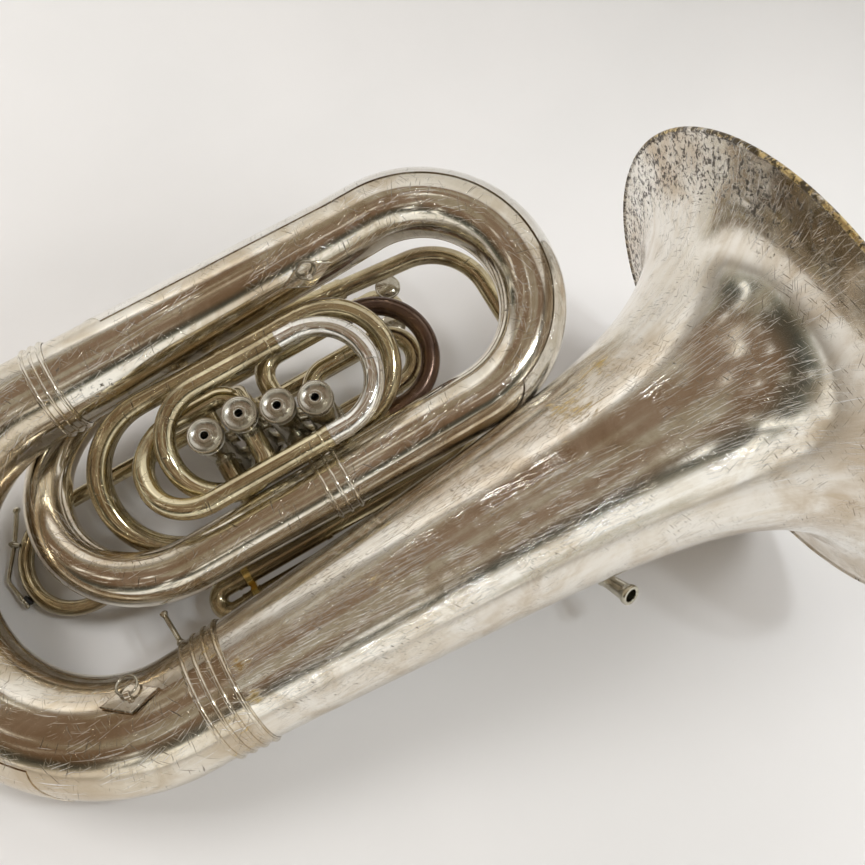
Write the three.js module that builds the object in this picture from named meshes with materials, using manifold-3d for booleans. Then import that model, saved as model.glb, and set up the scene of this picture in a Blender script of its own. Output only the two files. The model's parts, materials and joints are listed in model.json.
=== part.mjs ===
// A four-valve tuba with front-action pistons, lying on its bell rim, its bottom
// bow and its rear slide. Millimetres, +Z up.
//
// Every piece is placed in the horn frame: x runs along the bell axis towards the
// rim, y runs across the body from the bell to the outer branch, and z points to
// the player's side, which is the upper side as the horn lies. Two nested groups
// then lay the whole horn down.
import * as THREE from 'three';
import { mergeVertices } from 'three/addons/utils/BufferGeometryUtils.js';
import Module from 'manifold-3d';

const wasm = await Module();
wasm.setup();

// ---- driving dimensions ----------------------------------------------------
const GAP = 0.3;                  // clearance between pieces that touch
const LIE_PITCH = 15.115;          // degrees, bell rim end raised
const LIE_ROLL = 8.893;           // degrees, about the bell axis

const RIM_AT = 900;               // x of the bell rim
const BELL_START = 292;           // x where the bell meets the bottom bow
const RIM_RADIUS = 251.2;         // centre of the rolled rim
const RIM_WIRE = 2.8;             // radius of the rolled rim
const SHEET = 1.4;                // wall of the bell and the wide bows
// outer radius of the bell at each x
const BELL_SHAPE = [
  [BELL_START, 57.5], [400, 65.8], [520, 76.2], [630, 86.4], [700, 96.2], [760, 108.8],
  [805, 124.5], [842, 146], [869, 172], [888, 205], [898.4, RIM_RADIUS - RIM_WIRE * 0.7],
];
const BELL_SIDES = 28;

const OUTER_Y = 336.5;            // y of the outer branch
const INNER_Y = 117.5;            // y of the inner branch
const BOW_X = 265;                // x of the bottom bow's centre
const BRANCH_Z = -74;             // depth of the third branch, the upper crook and the main slide
const TUBE = 9.75;                // outer radius of the valve tubing
const TUBE_WALL = 0.9;
const LEG = 9.1;                  // outer radius of a slide's inner leg
const LEG_BORE = 8.3;
const SLEEVE = 10.3;              // outer radius of a slide's fixed tube
const SLEEVE_BORE = 9.45;

const VALVES = {                  // casing axes in the horn frame
  valve_4: [398, 208],
  valve_3: [435, 210.5],
  valve_2: [469, 199.4],
  valve_1: [503, 188.4],
};
const CASING = { outer: 14.7, bore: 12.7, top: 40.6, foot: -101 };
const PISTON = { radius: 12.3, top: 2, foot: -94, button: -144 };
const STUB_REACH = 18.5;          // port stubs end this far from a casing axis

// ---- finishes ---------------------------------------------------------------
const finish = (color, roughness, metalness = 1) =>
  new THREE.MeshStandardMaterial({ color, roughness, metalness });
const WORN_SILVER = finish(0xaaa08c, 0.32);
const BRIGHT_SILVER = finish(0xcfcdc6, 0.22);
const DULL_BRASS = finish(0x85754a, 0.38);
const YELLOW_BRASS = finish(0xb59a4e, 0.3);
const NICKEL = finish(0x9d9c88, 0.34);
const STEEL = finish(0x8d9094, 0.35);
const RUBBER = finish(0x1a1917, 0.75, 0);

// ---- groups -----------------------------------------------------------------
const tuba = new THREE.Group();
const pitched = new THREE.Group();
const horn = new THREE.Group();
tuba.add(pitched);
pitched.add(horn);
pitched.rotation.y = -THREE.MathUtils.degToRad(LIE_PITCH);
horn.rotation.x = THREE.MathUtils.degToRad(LIE_ROLL);

function add(name, geometry, material) {
  const mesh = new THREE.Mesh(geometry, material);
  mesh.name = name;
  horn.add(mesh);
  return mesh;
}

const X = [1, 0, 0];
const Z = [0, 0, 1];

// ---- routes: stations along a bent path --------------------------------------
const BEND_STEP = THREE.MathUtils.degToRad(38);
const WIDE_STEP = THREE.MathUtils.degToRad(22.5);

// Straight runs between the corners, rounded at each inner corner. A corner that
// lies on a straight run gives two stations, so that the radius can step there.
function route(corners, bends = 0, step = BEND_STEP) {
  const points = corners.map((corner) => new THREE.Vector3(...corner));
  const stations = [];
  const put = (at, along) => stations.push({ at: at.clone(), along: along.clone() });
  const heading = (i) => points[i + 1].clone().sub(points[i]).normalize();
  put(points[0], heading(0));
  for (let i = 1; i < points.length - 1; i++) {
    const into = heading(i - 1);
    const turn = into.angleTo(heading(i));
    if (turn < 2e-3) {
      put(points[i], into);
      put(points[i], into);
      continue;
    }
    const radius = Array.isArray(bends) ? bends[i - 1] : bends;
    const axis = into.clone().cross(heading(i)).normalize();
    const spoke = axis.clone().cross(into).multiplyScalar(-radius);
    const start = points[i].clone().addScaledVector(into, -radius * Math.tan(turn / 2));
    const centre = start.clone().sub(spoke);
    const steps = Math.max(1, Math.round(turn / step));
    for (let k = 0; k <= steps; k++) {
      const angle = (turn * k) / steps;
      put(spoke.clone().applyAxisAngle(axis, angle).add(centre), into.clone().applyAxisAngle(axis, angle));
    }
  }
  put(points.at(-1), heading(points.length - 2));
  return withLengths(stations);
}

// Drops repeated stations of touching bends and notes how far along each one is.
function withLengths(stations) {
  const kept = [];
  let length = 0;
  for (const station of stations) {
    const last = kept.at(-1);
    const step = last ? station.at.distanceTo(last.at) : 0;
    const twin = last && step < 1e-6 && station.along.angleTo(last.along) < 1e-6 && !last.twin;
    if (last && step < 0.05 && !twin) continue;
    length += step;
    kept.push({ ...station, twin, far: length + (twin ? 0.001 : -0.001) });
  }
  kept.forEach((station) => { station.part = station.far / length; });
  return kept;
}

// Carries a sideways direction along the stations without twist.
function frames(stations, side = Z) {
  let across = new THREE.Vector3(...side);
  return stations.map((station) => {
    across = across.clone().addScaledVector(station.along, -across.dot(station.along)).normalize();
    return { ...station, across, up: across.clone().cross(station.along) };
  });
}

// Bends a geometry whose height coordinate counts the stations.
function bend(geometry, path, place) {
  const position = geometry.attributes.position;
  const vertex = new THREE.Vector3();
  for (let i = 0; i < position.count; i++) {
    vertex.fromBufferAttribute(position, i);
    const { station, across, up } = place(vertex);
    const frame = path[station];
    vertex.copy(frame.at).addScaledVector(frame.across, across).addScaledVector(frame.up, up);
    position.setXYZ(i, vertex.x, vertex.y, vertex.z);
  }
  geometry.deleteAttribute('uv');
  geometry.computeVertexNormals();
  return geometry;
}

const along = (radius, station) => (typeof radius === 'function' ? radius(station.part) : radius);

// A hollow tube: outer and inner radius are numbers or functions of the part of
// the length.
function tube(stations, outer, inner, sides = 10, side = Z) {
  const profile = stations.map((station, i) => new THREE.Vector2(along(outer, station), i));
  [...stations.entries()].reverse().forEach(([i, station]) =>
    profile.push(new THREE.Vector2(along(inner, station), i)));
  profile.push(profile[0].clone());
  const place = (v) => ({ station: Math.round(v.y), across: v.x, up: v.z });
  return bend(new THREE.LatheGeometry(profile, sides), frames(stations, side), place);
}

function rod(stations, radius, sides = 8) {
  const profile = stations.map((station, i) => new THREE.Vector2(along(radius, station), i));
  profile.unshift(new THREE.Vector2(0, 0));
  profile.push(new THREE.Vector2(0, stations.length - 1));
  const place = (v) => ({ station: Math.round(v.y), across: v.x, up: v.z });
  return bend(new THREE.LatheGeometry(profile, sides), frames(stations), place);
}

// A curved plate over the side of a tube that faces `side`. Each station says how
// far from the centre line it lies; `halfAngle` gives its half width in radians.
function guard(stations, side, halfAngle) {
  const inside = 10;
  const outside = 11;
  const shape = new THREE.Shape();
  shape.absarc(0, 0, outside, -1, 1, false);
  shape.absarc(0, 0, inside, 1, -1, true);
  const count = stations.length - 1;
  const plate = new THREE.ExtrudeGeometry(shape, {
    depth: count, steps: count, bevelEnabled: false, curveSegments: 5,
  });
  return bend(plate, frames(stations, side), (v) => {
    const station = Math.round(v.z);
    const turn = Math.atan2(v.y, v.x) * halfAngle(stations[station].part);
    const base = stations[station].clear;
    const reach = base + (Math.hypot(v.x, v.y) > (inside + outside) / 2 ? GUARD_SHEET : 0);
    return { station, across: reach * Math.cos(turn), up: -reach * Math.sin(turn) };
  });
}

// A turned piece: profile of [radius, height] pairs, closed on itself or on the
// axis, with its axis along `axis` through `at`.
function turned(profile, at, axis, sides = 16) {
  const geometry = new THREE.LatheGeometry(profile.map(([r, h]) => new THREE.Vector2(r, h)), sides);
  geometry.deleteAttribute('uv');
  const spin = new THREE.Quaternion().setFromUnitVectors(
    new THREE.Vector3(0, 1, 0), new THREE.Vector3(...axis).normalize());
  geometry.applyQuaternion(spin);
  geometry.translate(...at);
  return geometry;
}

const ramp = (from, to) => (part) => from + (to - from) * part;

// ---- booleans ----------------------------------------------------------------
function solid(geometry) {
  const bare = geometry.clone();
  bare.deleteAttribute('normal');
  bare.deleteAttribute('uv');
  const merged = mergeVertices(bare, 1e-3);
  return new wasm.Manifold(new wasm.Mesh({
    numProp: 3,
    vertProperties: new Float32Array(merged.attributes.position.array),
    triVerts: new Uint32Array(merged.index.array),
  }));
}

function geometryOf(manifold) {
  const mesh = manifold.getMesh();
  const geometry = new THREE.BufferGeometry();
  geometry.setAttribute('position', new THREE.BufferAttribute(mesh.vertProperties, 3));
  geometry.setIndex(new THREE.BufferAttribute(mesh.triVerts, 1));
  geometry.computeVertexNormals();
  return geometry;
}

// ---- bell --------------------------------------------------------------------
// The bell is made in three lengths. Its edge is rolled over a wire, so the rim
// is part of the flare.
const BELL_PARTS = {
  bell_stem: [BELL_START, 470],
  bell_throat: [470 + GAP, 690],
  bell_flare: [690 + GAP, RIM_AT],
};

function bellRadius(x) {
  const next = BELL_SHAPE.findIndex(([at]) => at > x);
  const [[x0, r0], [x1, r1]] = [BELL_SHAPE[next - 1], BELL_SHAPE[next]];
  return r0 + ((r1 - r0) * (x - x0)) / (x1 - x0);
}

function bell() {
  for (const [name, [from, to]] of Object.entries(BELL_PARTS)) {
    const between = BELL_SHAPE.filter(([x]) => x > from && x < to);
    const shape = [[from, bellRadius(from)], ...between];
    if (to < RIM_AT) shape.push([to, bellRadius(to)]);
    const outer = shape.map(([x, r]) => [r, x]);
    const rim = to < RIM_AT ? [] : [-110, -40, 30, 100, 160].map((angle) => {
      const turn = THREE.MathUtils.degToRad(angle);
      return [RIM_RADIUS + RIM_WIRE * Math.sin(turn + Math.PI / 2), RIM_AT + RIM_WIRE * Math.sin(turn)];
    });
    // The wall thins and leans outwards over the last of the flare.
    const inner = shape.map(([x, r]) => {
      const flare = Math.max(0, BELL_SHAPE.findIndex(([at]) => at >= x) - 5) / 5;
      return [r - SHEET * (1 - flare * 0.5), x + SHEET * flare];
    }).reverse();
    add(name, turned([...outer, ...rim, ...inner, outer[0]], [0, 0, 0], X, BELL_SIDES), WORN_SILVER);
  }
}

// A sleeve with raised beads over the joint of two tubes. It follows the cone of
// the tubes, from radius `first` at x0 to `last` at x1.
function ferrule(name, x0, x1, y, first, last, beads, material) {
  const sides = 16;
  const slope = (last - first) / (x1 - x0);
  const radius = (x) => (first + slope * (x - x0) + GAP) / Math.cos(Math.PI / sides);
  const profile = [[radius(x0), x0], [radius(x0) + 1.2, x0]];
  for (let k = 0; k < beads; k++) {
    const middle = x0 + ((k + 0.5) * (x1 - x0)) / beads;
    profile.push([radius(middle) + 1.2, middle - 2.6], [radius(middle) + 2.6, middle],
      [radius(middle) + 1.2, middle + 2.6]);
  }
  profile.push([radius(x1) + 1.2, x1], [radius(x1), x1], profile[0]);
  add(name, turned(profile, [0, y, 0], X, sides), material);
}

// ---- the wide bows and branches ------------------------------------------------
const BRANCH = { first: 44.6, last: 36, from: 288.4, to: 600.2, endY: 338.5 };
const TOP_BOW = { peak: 748, innerY: 120.3, outerY: 343, radius: 109, first: 35.8, last: 29.2 };
const GUARD_GAP = 1.5;            // room between a wide tube and its guard
const GUARD_SHEET = 1.3;

// A station part of the way from one to the next.
const between = (one, two, share) => ({
  at: one.at.clone().lerp(two.at, share),
  along: one.along.clone().lerp(two.along, share).normalize(),
  part: one.part + (two.part - one.part) * share,
});

function bottomBow() {
  const reach = OUTER_Y / 2;
  const path = route(
    [[BELL_START - GAP, 0, 0], [BOW_X - reach, 0, 0], [BOW_X - reach, OUTER_Y, 0], [288, OUTER_Y, 0]],
    reach, WIDE_STEP);
  const radius = ramp(57, 45);
  add('bottom_bow', tube(path, radius, (part) => radius(part) - SHEET, 18), WORN_SILVER);

  const covered = [between(path[2], path[3], 0.45), ...path.slice(3, 9)]
    .map((station) => ({ ...station, clear: radius(station.part) + GUARD_GAP }));
  const spread = (part) => 1.08 - 0.24 * Math.abs(2 * part - 1) ** 2;
  add('bottom_bow_guard', guard(withLengths(covered), [-0.6, -0.8, 0], spread), WORN_SILVER);
}

function upperBody() {
  const { first, last, from, to, endY } = BRANCH;
  const branch = route([[from, OUTER_Y, 0], [to, endY, 0]]);
  const branchRadius = ramp(first, last);
  add('outer_branch', tube(branch, branchRadius, (part) => branchRadius(part) - SHEET, 18), WORN_SILVER);

  const bowStart = to + 1.4;
  const { peak, innerY, outerY, radius } = TOP_BOW;
  const bow = route([[bowStart, endY, 0], [peak, outerY, 0], [peak, innerY, 0], [480.6, INNER_Y, 0]],
    radius, WIDE_STEP);
  const bowRadius = ramp(TOP_BOW.first, TOP_BOW.last);
  inLengths(['top_bow', 'top_bow_return'], bow, [6], bowRadius, 16);
  topGuard(branchRadius, bow, bowRadius);

  const inner = route(
    [[480.2, INNER_Y, 0], [217, INNER_Y, 0], [217, 338, BRANCH_Z], [330, 338, BRANCH_Z]], 115, WIDE_STEP);
  const innerRadius = ramp(28.9, 21.5);
  inLengths(['inner_branch', 'inner_bow', 'inner_bow_return'], inner, [3, 8], innerRadius, 14);
}

// A wide tube brazed together from lengths that end at the given stations.
function inLengths(names, path, cuts, radius, sides) {
  let rest = path;
  let gone = 0;
  for (const [i, name] of names.entries()) {
    const cut = i < cuts.length ? cuts[i] - gone : rest.length - 1;
    const kept = rest.slice(0, cut + 1);
    add(name, tube(kept, radius, (part) => radius(part) - SHEET, sides), WORN_SILVER);
    if (i < cuts.length) {
      const share = (2 * GAP) / rest[cut].at.distanceTo(rest[cut + 1].at);
      rest = [between(rest[cut], rest[cut + 1], share), ...rest.slice(cut + 1)];
      gone += cut;
    }
  }
}

// The guard runs along the outer branch and round the top bow to past its peak.
function topGuard(branchRadius, bow, bowRadius) {
  const { from, to, endY } = BRANCH;
  const straight = [336, 346, 358, 372, 480, 592].map((x) => {
    const part = (x - from) / (to - from);
    return {
      at: new THREE.Vector3(x, OUTER_Y + (endY - OUTER_Y) * part, 0),
      along: new THREE.Vector3(1, 0.006, 0).normalize(),
      clear: branchRadius(part) + GUARD_GAP,
    };
  });
  const curved = bow.slice(1, 8).map((station) => ({ ...station, clear: bowRadius(station.part) + GUARD_GAP }));
  const covered = withLengths([...straight, ...curved]);
  const taper = [0.35, 0.62, 0.88];
  covered.forEach((station, i) => { station.part = taper[i] ?? 1.05; });
  add('top_bow_guard', guard(covered, [0, 1, 0], (spread) => spread), BRIGHT_SILVER);
}

// ---- small branches before the wide tubing --------------------------------------
function thirdBranch() {
  const z = BRANCH_Z;
  const path = route([[330.5, 338, z], [352, 338, z], [566, 315.6, z], [588, 313.3, z]], [120, 0]);
  const step = path.find((station) => station.twin).part;
  const outer = (part) => (part >= step ? TUBE + 1.5 : ramp(21.4, TUBE)(part / step));
  const inner = (part) => (part >= step ? TUBE + GAP : ramp(20.1, TUBE - 1.3)(part / step));
  add('third_branch', tube(path, outer, inner), DULL_BRASS);

  const crook = route(
    [[568, 315.4, z], [722, 301, z], [722, 158, z], [600, 95, z],
      [450, 95, z], [352, 95, z]],
    [66, 60, 60, 0]);
  const sleeveStart = crook.find((station) => station.twin).part;
  add('upper_crook', tube(crook,
    (part) => (part >= sleeveStart ? SLEEVE : TUBE),
    (part) => (part >= sleeveStart ? SLEEVE_BORE : TUBE - TUBE_WALL)), DULL_BRASS);
}

// ---- slides ---------------------------------------------------------------------
// A moving slide: two inner legs and a bow. The legs run along x from the mouths
// of the fixed tubes; `way` is +1 where the bow lies beyond them and -1 before.
function slideBow(name, { mouth, y, z, leg, run, way = 1, wide = TUBE + 0.9, collar = 20 }, material) {
  const radius = Math.hypot(y[1] - y[0], z[1] - z[0]) / 2;
  const x = (distance) => mouth + way * distance;
  const path = route([
    [x(-leg), y[0], z[0]], [x(GAP), y[0], z[0]], [x(collar), y[0], z[0]],
    [x(run + radius), y[0], z[0]], [x(run + radius), y[1], z[1]],
    [x(collar), y[1], z[1]], [x(GAP), y[1], z[1]], [x(-leg), y[1], z[1]],
  ], [0, 0, radius, radius, 0, 0]);
  const total = path.at(-1).far;
  const outer = (part) => {
    const far = Math.min(part, 1 - part) * total;
    if (far < leg + GAP) return LEG;
    return far < leg + collar ? wide : TUBE;
  };
  return add(name, tube(path, outer, LEG_BORE, 10, bowNormal(y, z)), material);
}

// The facets of a slide's legs and of its fixed tubes line up on the normal of
// the bow's own plane.
const bowNormal = (y, z) => [0, z[1] - z[0], y[0] - y[1]];

const sleeve = (name, corners, bends, material, side = Z) =>
  add(name, tube(route(corners, bends), SLEEVE, SLEEVE_BORE, 10, side), material);

const [X4, Y4] = VALVES.valve_4;
const [X3, Y3] = VALVES.valve_3;
const [X2, Y2] = VALVES.valve_2;
const [X1, Y1] = VALVES.valve_1;
const REACH = STUB_REACH + GAP;

// Third valve: the bright bow nearest the player and its two crooks.
function thirdSlide() {
  const z = 42;
  slideBow('third_slide_bow', { mouth: 498, y: [255, 151], z: [z, z], leg: 56, run: 16 }, BRIGHT_SILVER);
  sleeve('third_upper_crook', [[498, 255, z], [357, 255, z], [357, 154, 14], [X3, 154, 14], [X3, Y3 - REACH, 14]],
    [53, 50, 21], YELLOW_BRASS);
  sleeve('third_lower_crook', [[498, 151, z], [328, 151, z], [328, 246, 10], [X3, 246, 10], [X3, Y3 + REACH, 10]],
    [48, 48, 16.2], WORN_SILVER);
}

// Fourth valve: the dull bow under the bright one, and the wide left-hand crook.
function fourthSlide() {
  const y = [279, 161];
  const z = [8, -12];
  slideBow('fourth_slide_bow', { mouth: 512, y, z, leg: 60, run: 19, collar: 16 }, DULL_BRASS);
  const side = bowNormal(y, z);

  const foot = -42;
  const path = route(
    [[512, y[0], z[0]], [440, y[0], z[0]], [278, y[0], z[0]], [278, 137, foot],
      [X4, 137, foot], [X4, Y4 - REACH, foot]],
    [0, 75, 75, 22]);
  const split = path.find((station) => station.twin).part;
  const widen = (part) => 2.4 * Math.sin(Math.PI * THREE.MathUtils.smoothstep(part, split, 1));
  add('fourth_crook', tube(path,
    (part) => (part >= split ? TUBE + widen(part) : SLEEVE),
    (part) => (part >= split ? LEG + widen(part) : SLEEVE_BORE), 10, side), DULL_BRASS);
}

function secondSlide() {
  const y = [270, 160];
  const z = [-30, -36];
  slideBow('second_slide_bow', { mouth: 560, y, z, leg: 46, run: 17, collar: 15 }, DULL_BRASS);
}

function firstSlide() {
  const z = -62;
  slideBow('first_slide_bow', { mouth: 572, y: [242, Y1], z: [z, z], leg: 34, run: 18, collar: 14 }, DULL_BRASS);
}

// The slide on the far side of the body, deepest of all, with two domed discs
// to pull it by.
const REAR = { y: [315, 268], z: -155, mouth: 590 };
function rearSlide() {
  const { y, z, mouth } = REAR;
  const bow = slideBow('rear_slide_bow', { mouth, y, z: [z, z], leg: 60, run: 24, collar: 12 }, DULL_BRASS);
  let body = solid(bow.geometry);
  for (const [x, along] of [[638, y[0] - 4], [620, y[1]]]) {
    const disc = turned([[0, 0], [3.4, 0], [3.4, 14], [14.5, 17], [14.5, 19], [9, 21.4], [0, 22.4]],
      [x, along, z + 4], Z, 12);
    body = body.add(solid(disc));
  }
  const legs = slideBore(y, z, mouth);
  bow.geometry = geometryOf(body.subtract(legs));

  sleeve('rear_outer_tube', [[mouth, y[0], z], [X4, y[0], z], [X4, 281, z], [X4, 281, -56], [X4, Y4 + REACH, -56]],
    [16.8, 16.8, 24], DULL_BRASS);
  sleeve('rear_inner_tube', [[mouth, y[1], z], [X3, y[1], z], [X3, y[1], -60], [X3, Y3 + REACH, -60]], 24,
    DULL_BRASS);
}

// The bore of the rear slide, for keeping the discs' posts out of it.
function slideBore(y, z, mouth) {
  const radius = (y[0] - y[1]) / 2;
  const x = mouth + 24 + radius;
  const path = route([[mouth - 70, y[0], z], [x, y[0], z], [x, y[1], z], [mouth - 70, y[1], z]], radius);
  return solid(rod(path, LEG_BORE, 10));
}

// The main tuning slide lies between the inner branch and the bell.
function mainSlide() {
  const z = BRANCH_Z;
  const under = -96;
  const port = -84;
  slideBow('main_slide_bow', { mouth: 352, y: [95, 69], z: [z, z], leg: 75, run: 21, way: -1, collar: 10 },
    DULL_BRASS);
  sleeve('main_slide_tube', [[352, 69, z], [444, 69, z], [X1 - 14, 69, under], [X1, 88, under], [X1, 132, under],
    [X1, 150, port], [X1, Y1 - REACH, port]], [12, 12, 12, 10, 10], DULL_BRASS);
  const band = solid(box([352.6, 49, z - 2.5], [358, 110, z + 2.5]))
    .add(solid(cylinder(SLEEVE + 2.2, [352.6, 95, z], [358, 95, z], 14)))
    .add(solid(cylinder(SLEEVE + 2.2, [352.6, 69, z], [358, 69, z], 14)))
    .subtract(solid(cylinder(SLEEVE + GAP, [350, 95, z], [360, 95, z], 14)))
    .subtract(solid(cylinder(SLEEVE + GAP, [350, 69, z], [360, 69, z], 14)));
  add('main_slide_clamp', geometryOf(band), YELLOW_BRASS);
}

// ---- valves ----------------------------------------------------------------------
// Port stubs of each casing: [direction, height, radius].
const PORTS = {
  valve_4: [[[0, -1, 0], -12], [[0, -1, 0], -42], [[0, 1, 0], -56], [[0, 1, 0], -84, 8.6]],
  valve_3: [[[0, -1, 0], 14], [[0, 1, 0], 10], [[0, 1, 0], -60]],
  valve_2: [[[0, 1, 0], -30], [[0, -1, 0], -36]],
  valve_1: [[[0, 1, 0], -62], [[1, 0, 0], -62], [[0, -1, 0], -84]],
};

function cylinder(radius, from, to, sides = 12) {
  const axis = to.map((value, i) => value - from[i]);
  const length = Math.hypot(...axis);
  return turned([[0, 0], [radius, 0], [radius, length], [0, length]], from, axis, sides);
}

function box(low, high) {
  const size = high.map((value, i) => value - low[i]);
  return new THREE.BoxGeometry(...size).translate(...low.map((value, i) => value + size[i] / 2));
}

// Fixed slide tubes that are soldered to their casings: [corners, bend, facing].
const END = STUB_REACH - 0.6;
const SOLDERED = {
  valve_4: [[[[512, 161, -12], [X4, 161, -12], [X4, Y4 - END, -12]], 14, [0, -20, 118]]],
  valve_2: [
    [[[560, 270, -30], [X2, 270, -30], [X2, Y2 + END, -30]], 24, [0, -6, 110]],
    [[[560, 160, -36], [X2, 160, -36], [X2, Y2 - END, -36]], 17, [0, -6, 110]],
  ],
  valve_1: [
    [[[572, 242, -62], [X1, 242, -62], [X1, Y1 + END, -62]], 24, Z],
    [[[572, Y1, -62], [X1 + END, Y1, -62]], 0, Z],
  ],
};

function casing(name, next) {
  const [x, y] = VALVES[name];
  const { outer, bore, top, foot } = CASING;
  const reach = (direction, distance, z) => [x + direction[0] * distance, y + direction[1] * distance, z];
  let body = solid(cylinder(outer, [x, y, foot], [x, y, top], 16));
  for (const [direction, z, radius = TUBE] of PORTS[name]) {
    body = body.add(solid(cylinder(radius, reach(direction, bore, z), reach(direction, STUB_REACH, z), 10)));
  }
  if (next) {
    const [nx, ny] = VALVES[next];
    for (const z of [-6, -84]) {
      body = body.add(solid(cylinder(8, [x, y, z], [nx, ny, z], 10)));
    }
    body = body.subtract(solid(cylinder(outer + GAP, [nx, ny, foot - 5], [nx, ny, top + 5], 16)));
  }
  body = body.subtract(solid(cylinder(bore, [x, y, foot - 5], [x, y, top + 5], 16)));
  for (const [direction, z, radius = TUBE] of PORTS[name]) {
    const hole = cylinder(radius - TUBE_WALL, reach(direction, bore - 5, z), reach(direction, STUB_REACH + 5, z), 10);
    body = body.subtract(solid(hole));
  }
  for (const [corners, bends, side] of SOLDERED[name] ?? []) {
    body = body.add(solid(tube(route(corners, bends), SLEEVE, SLEEVE_BORE, 10, side)));
  }
  add(`${name}_casing`, geometryOf(body), NICKEL);
}

function valveParts(name) {
  const [x, y] = VALVES[name];
  const { radius, top, foot, button } = PISTON;
  add(`${name}_bottom_cap`, turned([
    [15.5, 36], [16.9, 36], [16.9, 45.6], [15.8, 47.4], [12, 45.2], [6.4, 44.4], [5.2, 48.2], [2.4, 48.2],
    [2.4, 41], [15.5, 41], [15.5, 36],
  ], [x, y, 0], Z, 12), NICKEL);
  add(`${name}_top_cap`, turned([
    [4.4, -110], [8, -110], [16.6, -105.4], [16.6, -96], [15.5, -96], [15.5, -101.4], [4.4, -101.4], [4.4, -110],
  ], [x, y, 0], Z, 12), NICKEL);
  add(`${name}_piston`, turned([
    [0, button], [9, button + 0.6], [12, button + 2.6], [12, button + 5], [3.4, button + 6.6], [3.4, foot],
    [radius, foot], [radius, top], [0, top],
  ], [x, y, 0], Z, 12), NICKEL);
  add(`${name}_spring`, rod(helix([x, y, top + 1.4], 9.6, 35.6, 4), 0.8, 4), STEEL);
}

function helix([x, y, z], radius, height, turns) {
  const steps = Math.round(turns * 6);
  const rise = height / (turns * Math.PI * 2);
  return withLengths(Array.from({ length: steps + 1 }, (_, k) => {
    const turn = (k / steps) * turns * Math.PI * 2;
    return {
      at: new THREE.Vector3(x + radius * Math.cos(turn), y + radius * Math.sin(turn), z + rise * turn),
      along: new THREE.Vector3(-radius * Math.sin(turn), radius * Math.cos(turn), rise).normalize(),
    };
  }));
}

// ---- leadpipe and receiver ----------------------------------------------------------
// The leadpipe runs under the body, turns in a round crook and ends at valve 4.
const CROOK = { x: 218, low: 145, high: 257, lowZ: -62, highZ: -84 };
const RECEIVER = { foot: [668, -88, -96], mouth: [679, -118, -72] };

function crookAt(degrees, reach = 0) {
  const { x, low, high } = CROOK;
  const radius = (high - low) / 2 + reach;
  const turn = THREE.MathUtils.degToRad(degrees);
  const y = (low + high) / 2 + radius * Math.sin(turn);
  return [x + radius * Math.cos(turn), y, crookDepth(y)];
}

const crookDepth = (y) =>
  CROOK.lowZ + ((CROOK.highZ - CROOK.lowZ) * (y - CROOK.low)) / (CROOK.high - CROOK.low);

function leadpipe() {
  const { x, low, high, lowZ, highZ } = CROOK;
  const radius = (high - low) / 2;
  const path = route([
    RECEIVER.foot, [655, -52, -125], [618, 60, -122], [560, low, -118], [440, low, -118],
    [x + 60, low, lowZ], [x - radius, low, lowZ],
    [x - radius, high, highZ], [X4, high, -84], [X4, Y4 + REACH, -84],
  ], [24, 60, 50, 60, 60, radius, radius, 20]);
  const outer = ramp(6.6, 8.6);
  add('leadpipe', tube(path, outer, (part) => outer(part) - 1, 9), DULL_BRASS);

  const axis = RECEIVER.mouth.map((value, i) => value - RECEIVER.foot[i]);
  const length = Math.hypot(...axis);
  add('mouthpiece_receiver', turned([
    [5.4, GAP], [8.2, GAP], [8.6, 4], [7.6, 8], [9.2, length - 8], [11, length - 5], [11, length],
    [7.1, length], [5.6, 8], [5.4, GAP],
  ], RECEIVER.foot, axis, 14), NICKEL);
}

// ---- water key -------------------------------------------------------------------------
const KEY_HINGE = 143;            // degrees round the crook
const KEY_PAD = 196;
const HINGE_REACH = 15.5;         // hinge pin from the crook's centre line
const shift = ([x, y, z], lift) => [x, y, z + lift];

function waterKey() {
  const hinge = crookAt(KEY_HINGE, HINGE_REACH);
  const pad = crookAt(KEY_PAD, 12.4);
  const arm = solid(rod(route([crookAt(KEY_PAD + 5, 15.4), crookAt(KEY_PAD - 4, 15.4),
    crookAt(172, 21), hinge, crookAt(126, 24), crookAt(119, 31)], [5, 12, 12, 6]), 2.2, 8))
    .add(solid(cylinder(3.6, shift(hinge, -4.4), shift(hinge, 4.4), 10)))
    .add(solid(cylinder(4.4, crookAt(119, 29), crookAt(119, 34), 10)))
    .add(solid(cylinder(4.4, pad, crookAt(KEY_PAD, 16.4), 10)))
    .subtract(solid(cylinder(1.6, shift(hinge, -9), shift(hinge, 9), 8)));
  add('water_key', geometryOf(arm), NICKEL);
  add('water_key_tip', cylinder(4.6, crookAt(KEY_PAD, 9.2), crookAt(KEY_PAD, 12.1), 10), RUBBER);

  let saddle = solid(cylinder(1.3, shift(hinge, -8.4), shift(hinge, 8.4), 8));
  for (const side of [-1, 1]) {
    saddle = saddle.add(solid(cylinder(1.8, shift(crookAt(KEY_HINGE, 5), side * 6.6),
      shift(crookAt(KEY_HINGE, HINGE_REACH + 2), side * 6.6), 8)));
  }
  const plate = crookAt(KEY_HINGE, 9.4);
  saddle = saddle.add(solid(cylinder(1.7, shift(plate, -7.8), shift(plate, 7.8), 8)))
    .subtract(solid(crookBody(GAP)));
  add('water_key_saddle', geometryOf(saddle), NICKEL);
}

// The outside of the round crook, grown by `extra`, for cutting what sits on it.
function crookBody(extra) {
  const { x, low, high, lowZ, highZ } = CROOK;
  const radius = (high - low) / 2;
  const path = route([[x + 20, low, lowZ], [x - radius, low, lowZ], [x - radius, high, highZ],
    [x + 20, high, highZ]], radius, THREE.MathUtils.degToRad(15));
  return rod(path, 8.4 + extra, 16);
}

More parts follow.
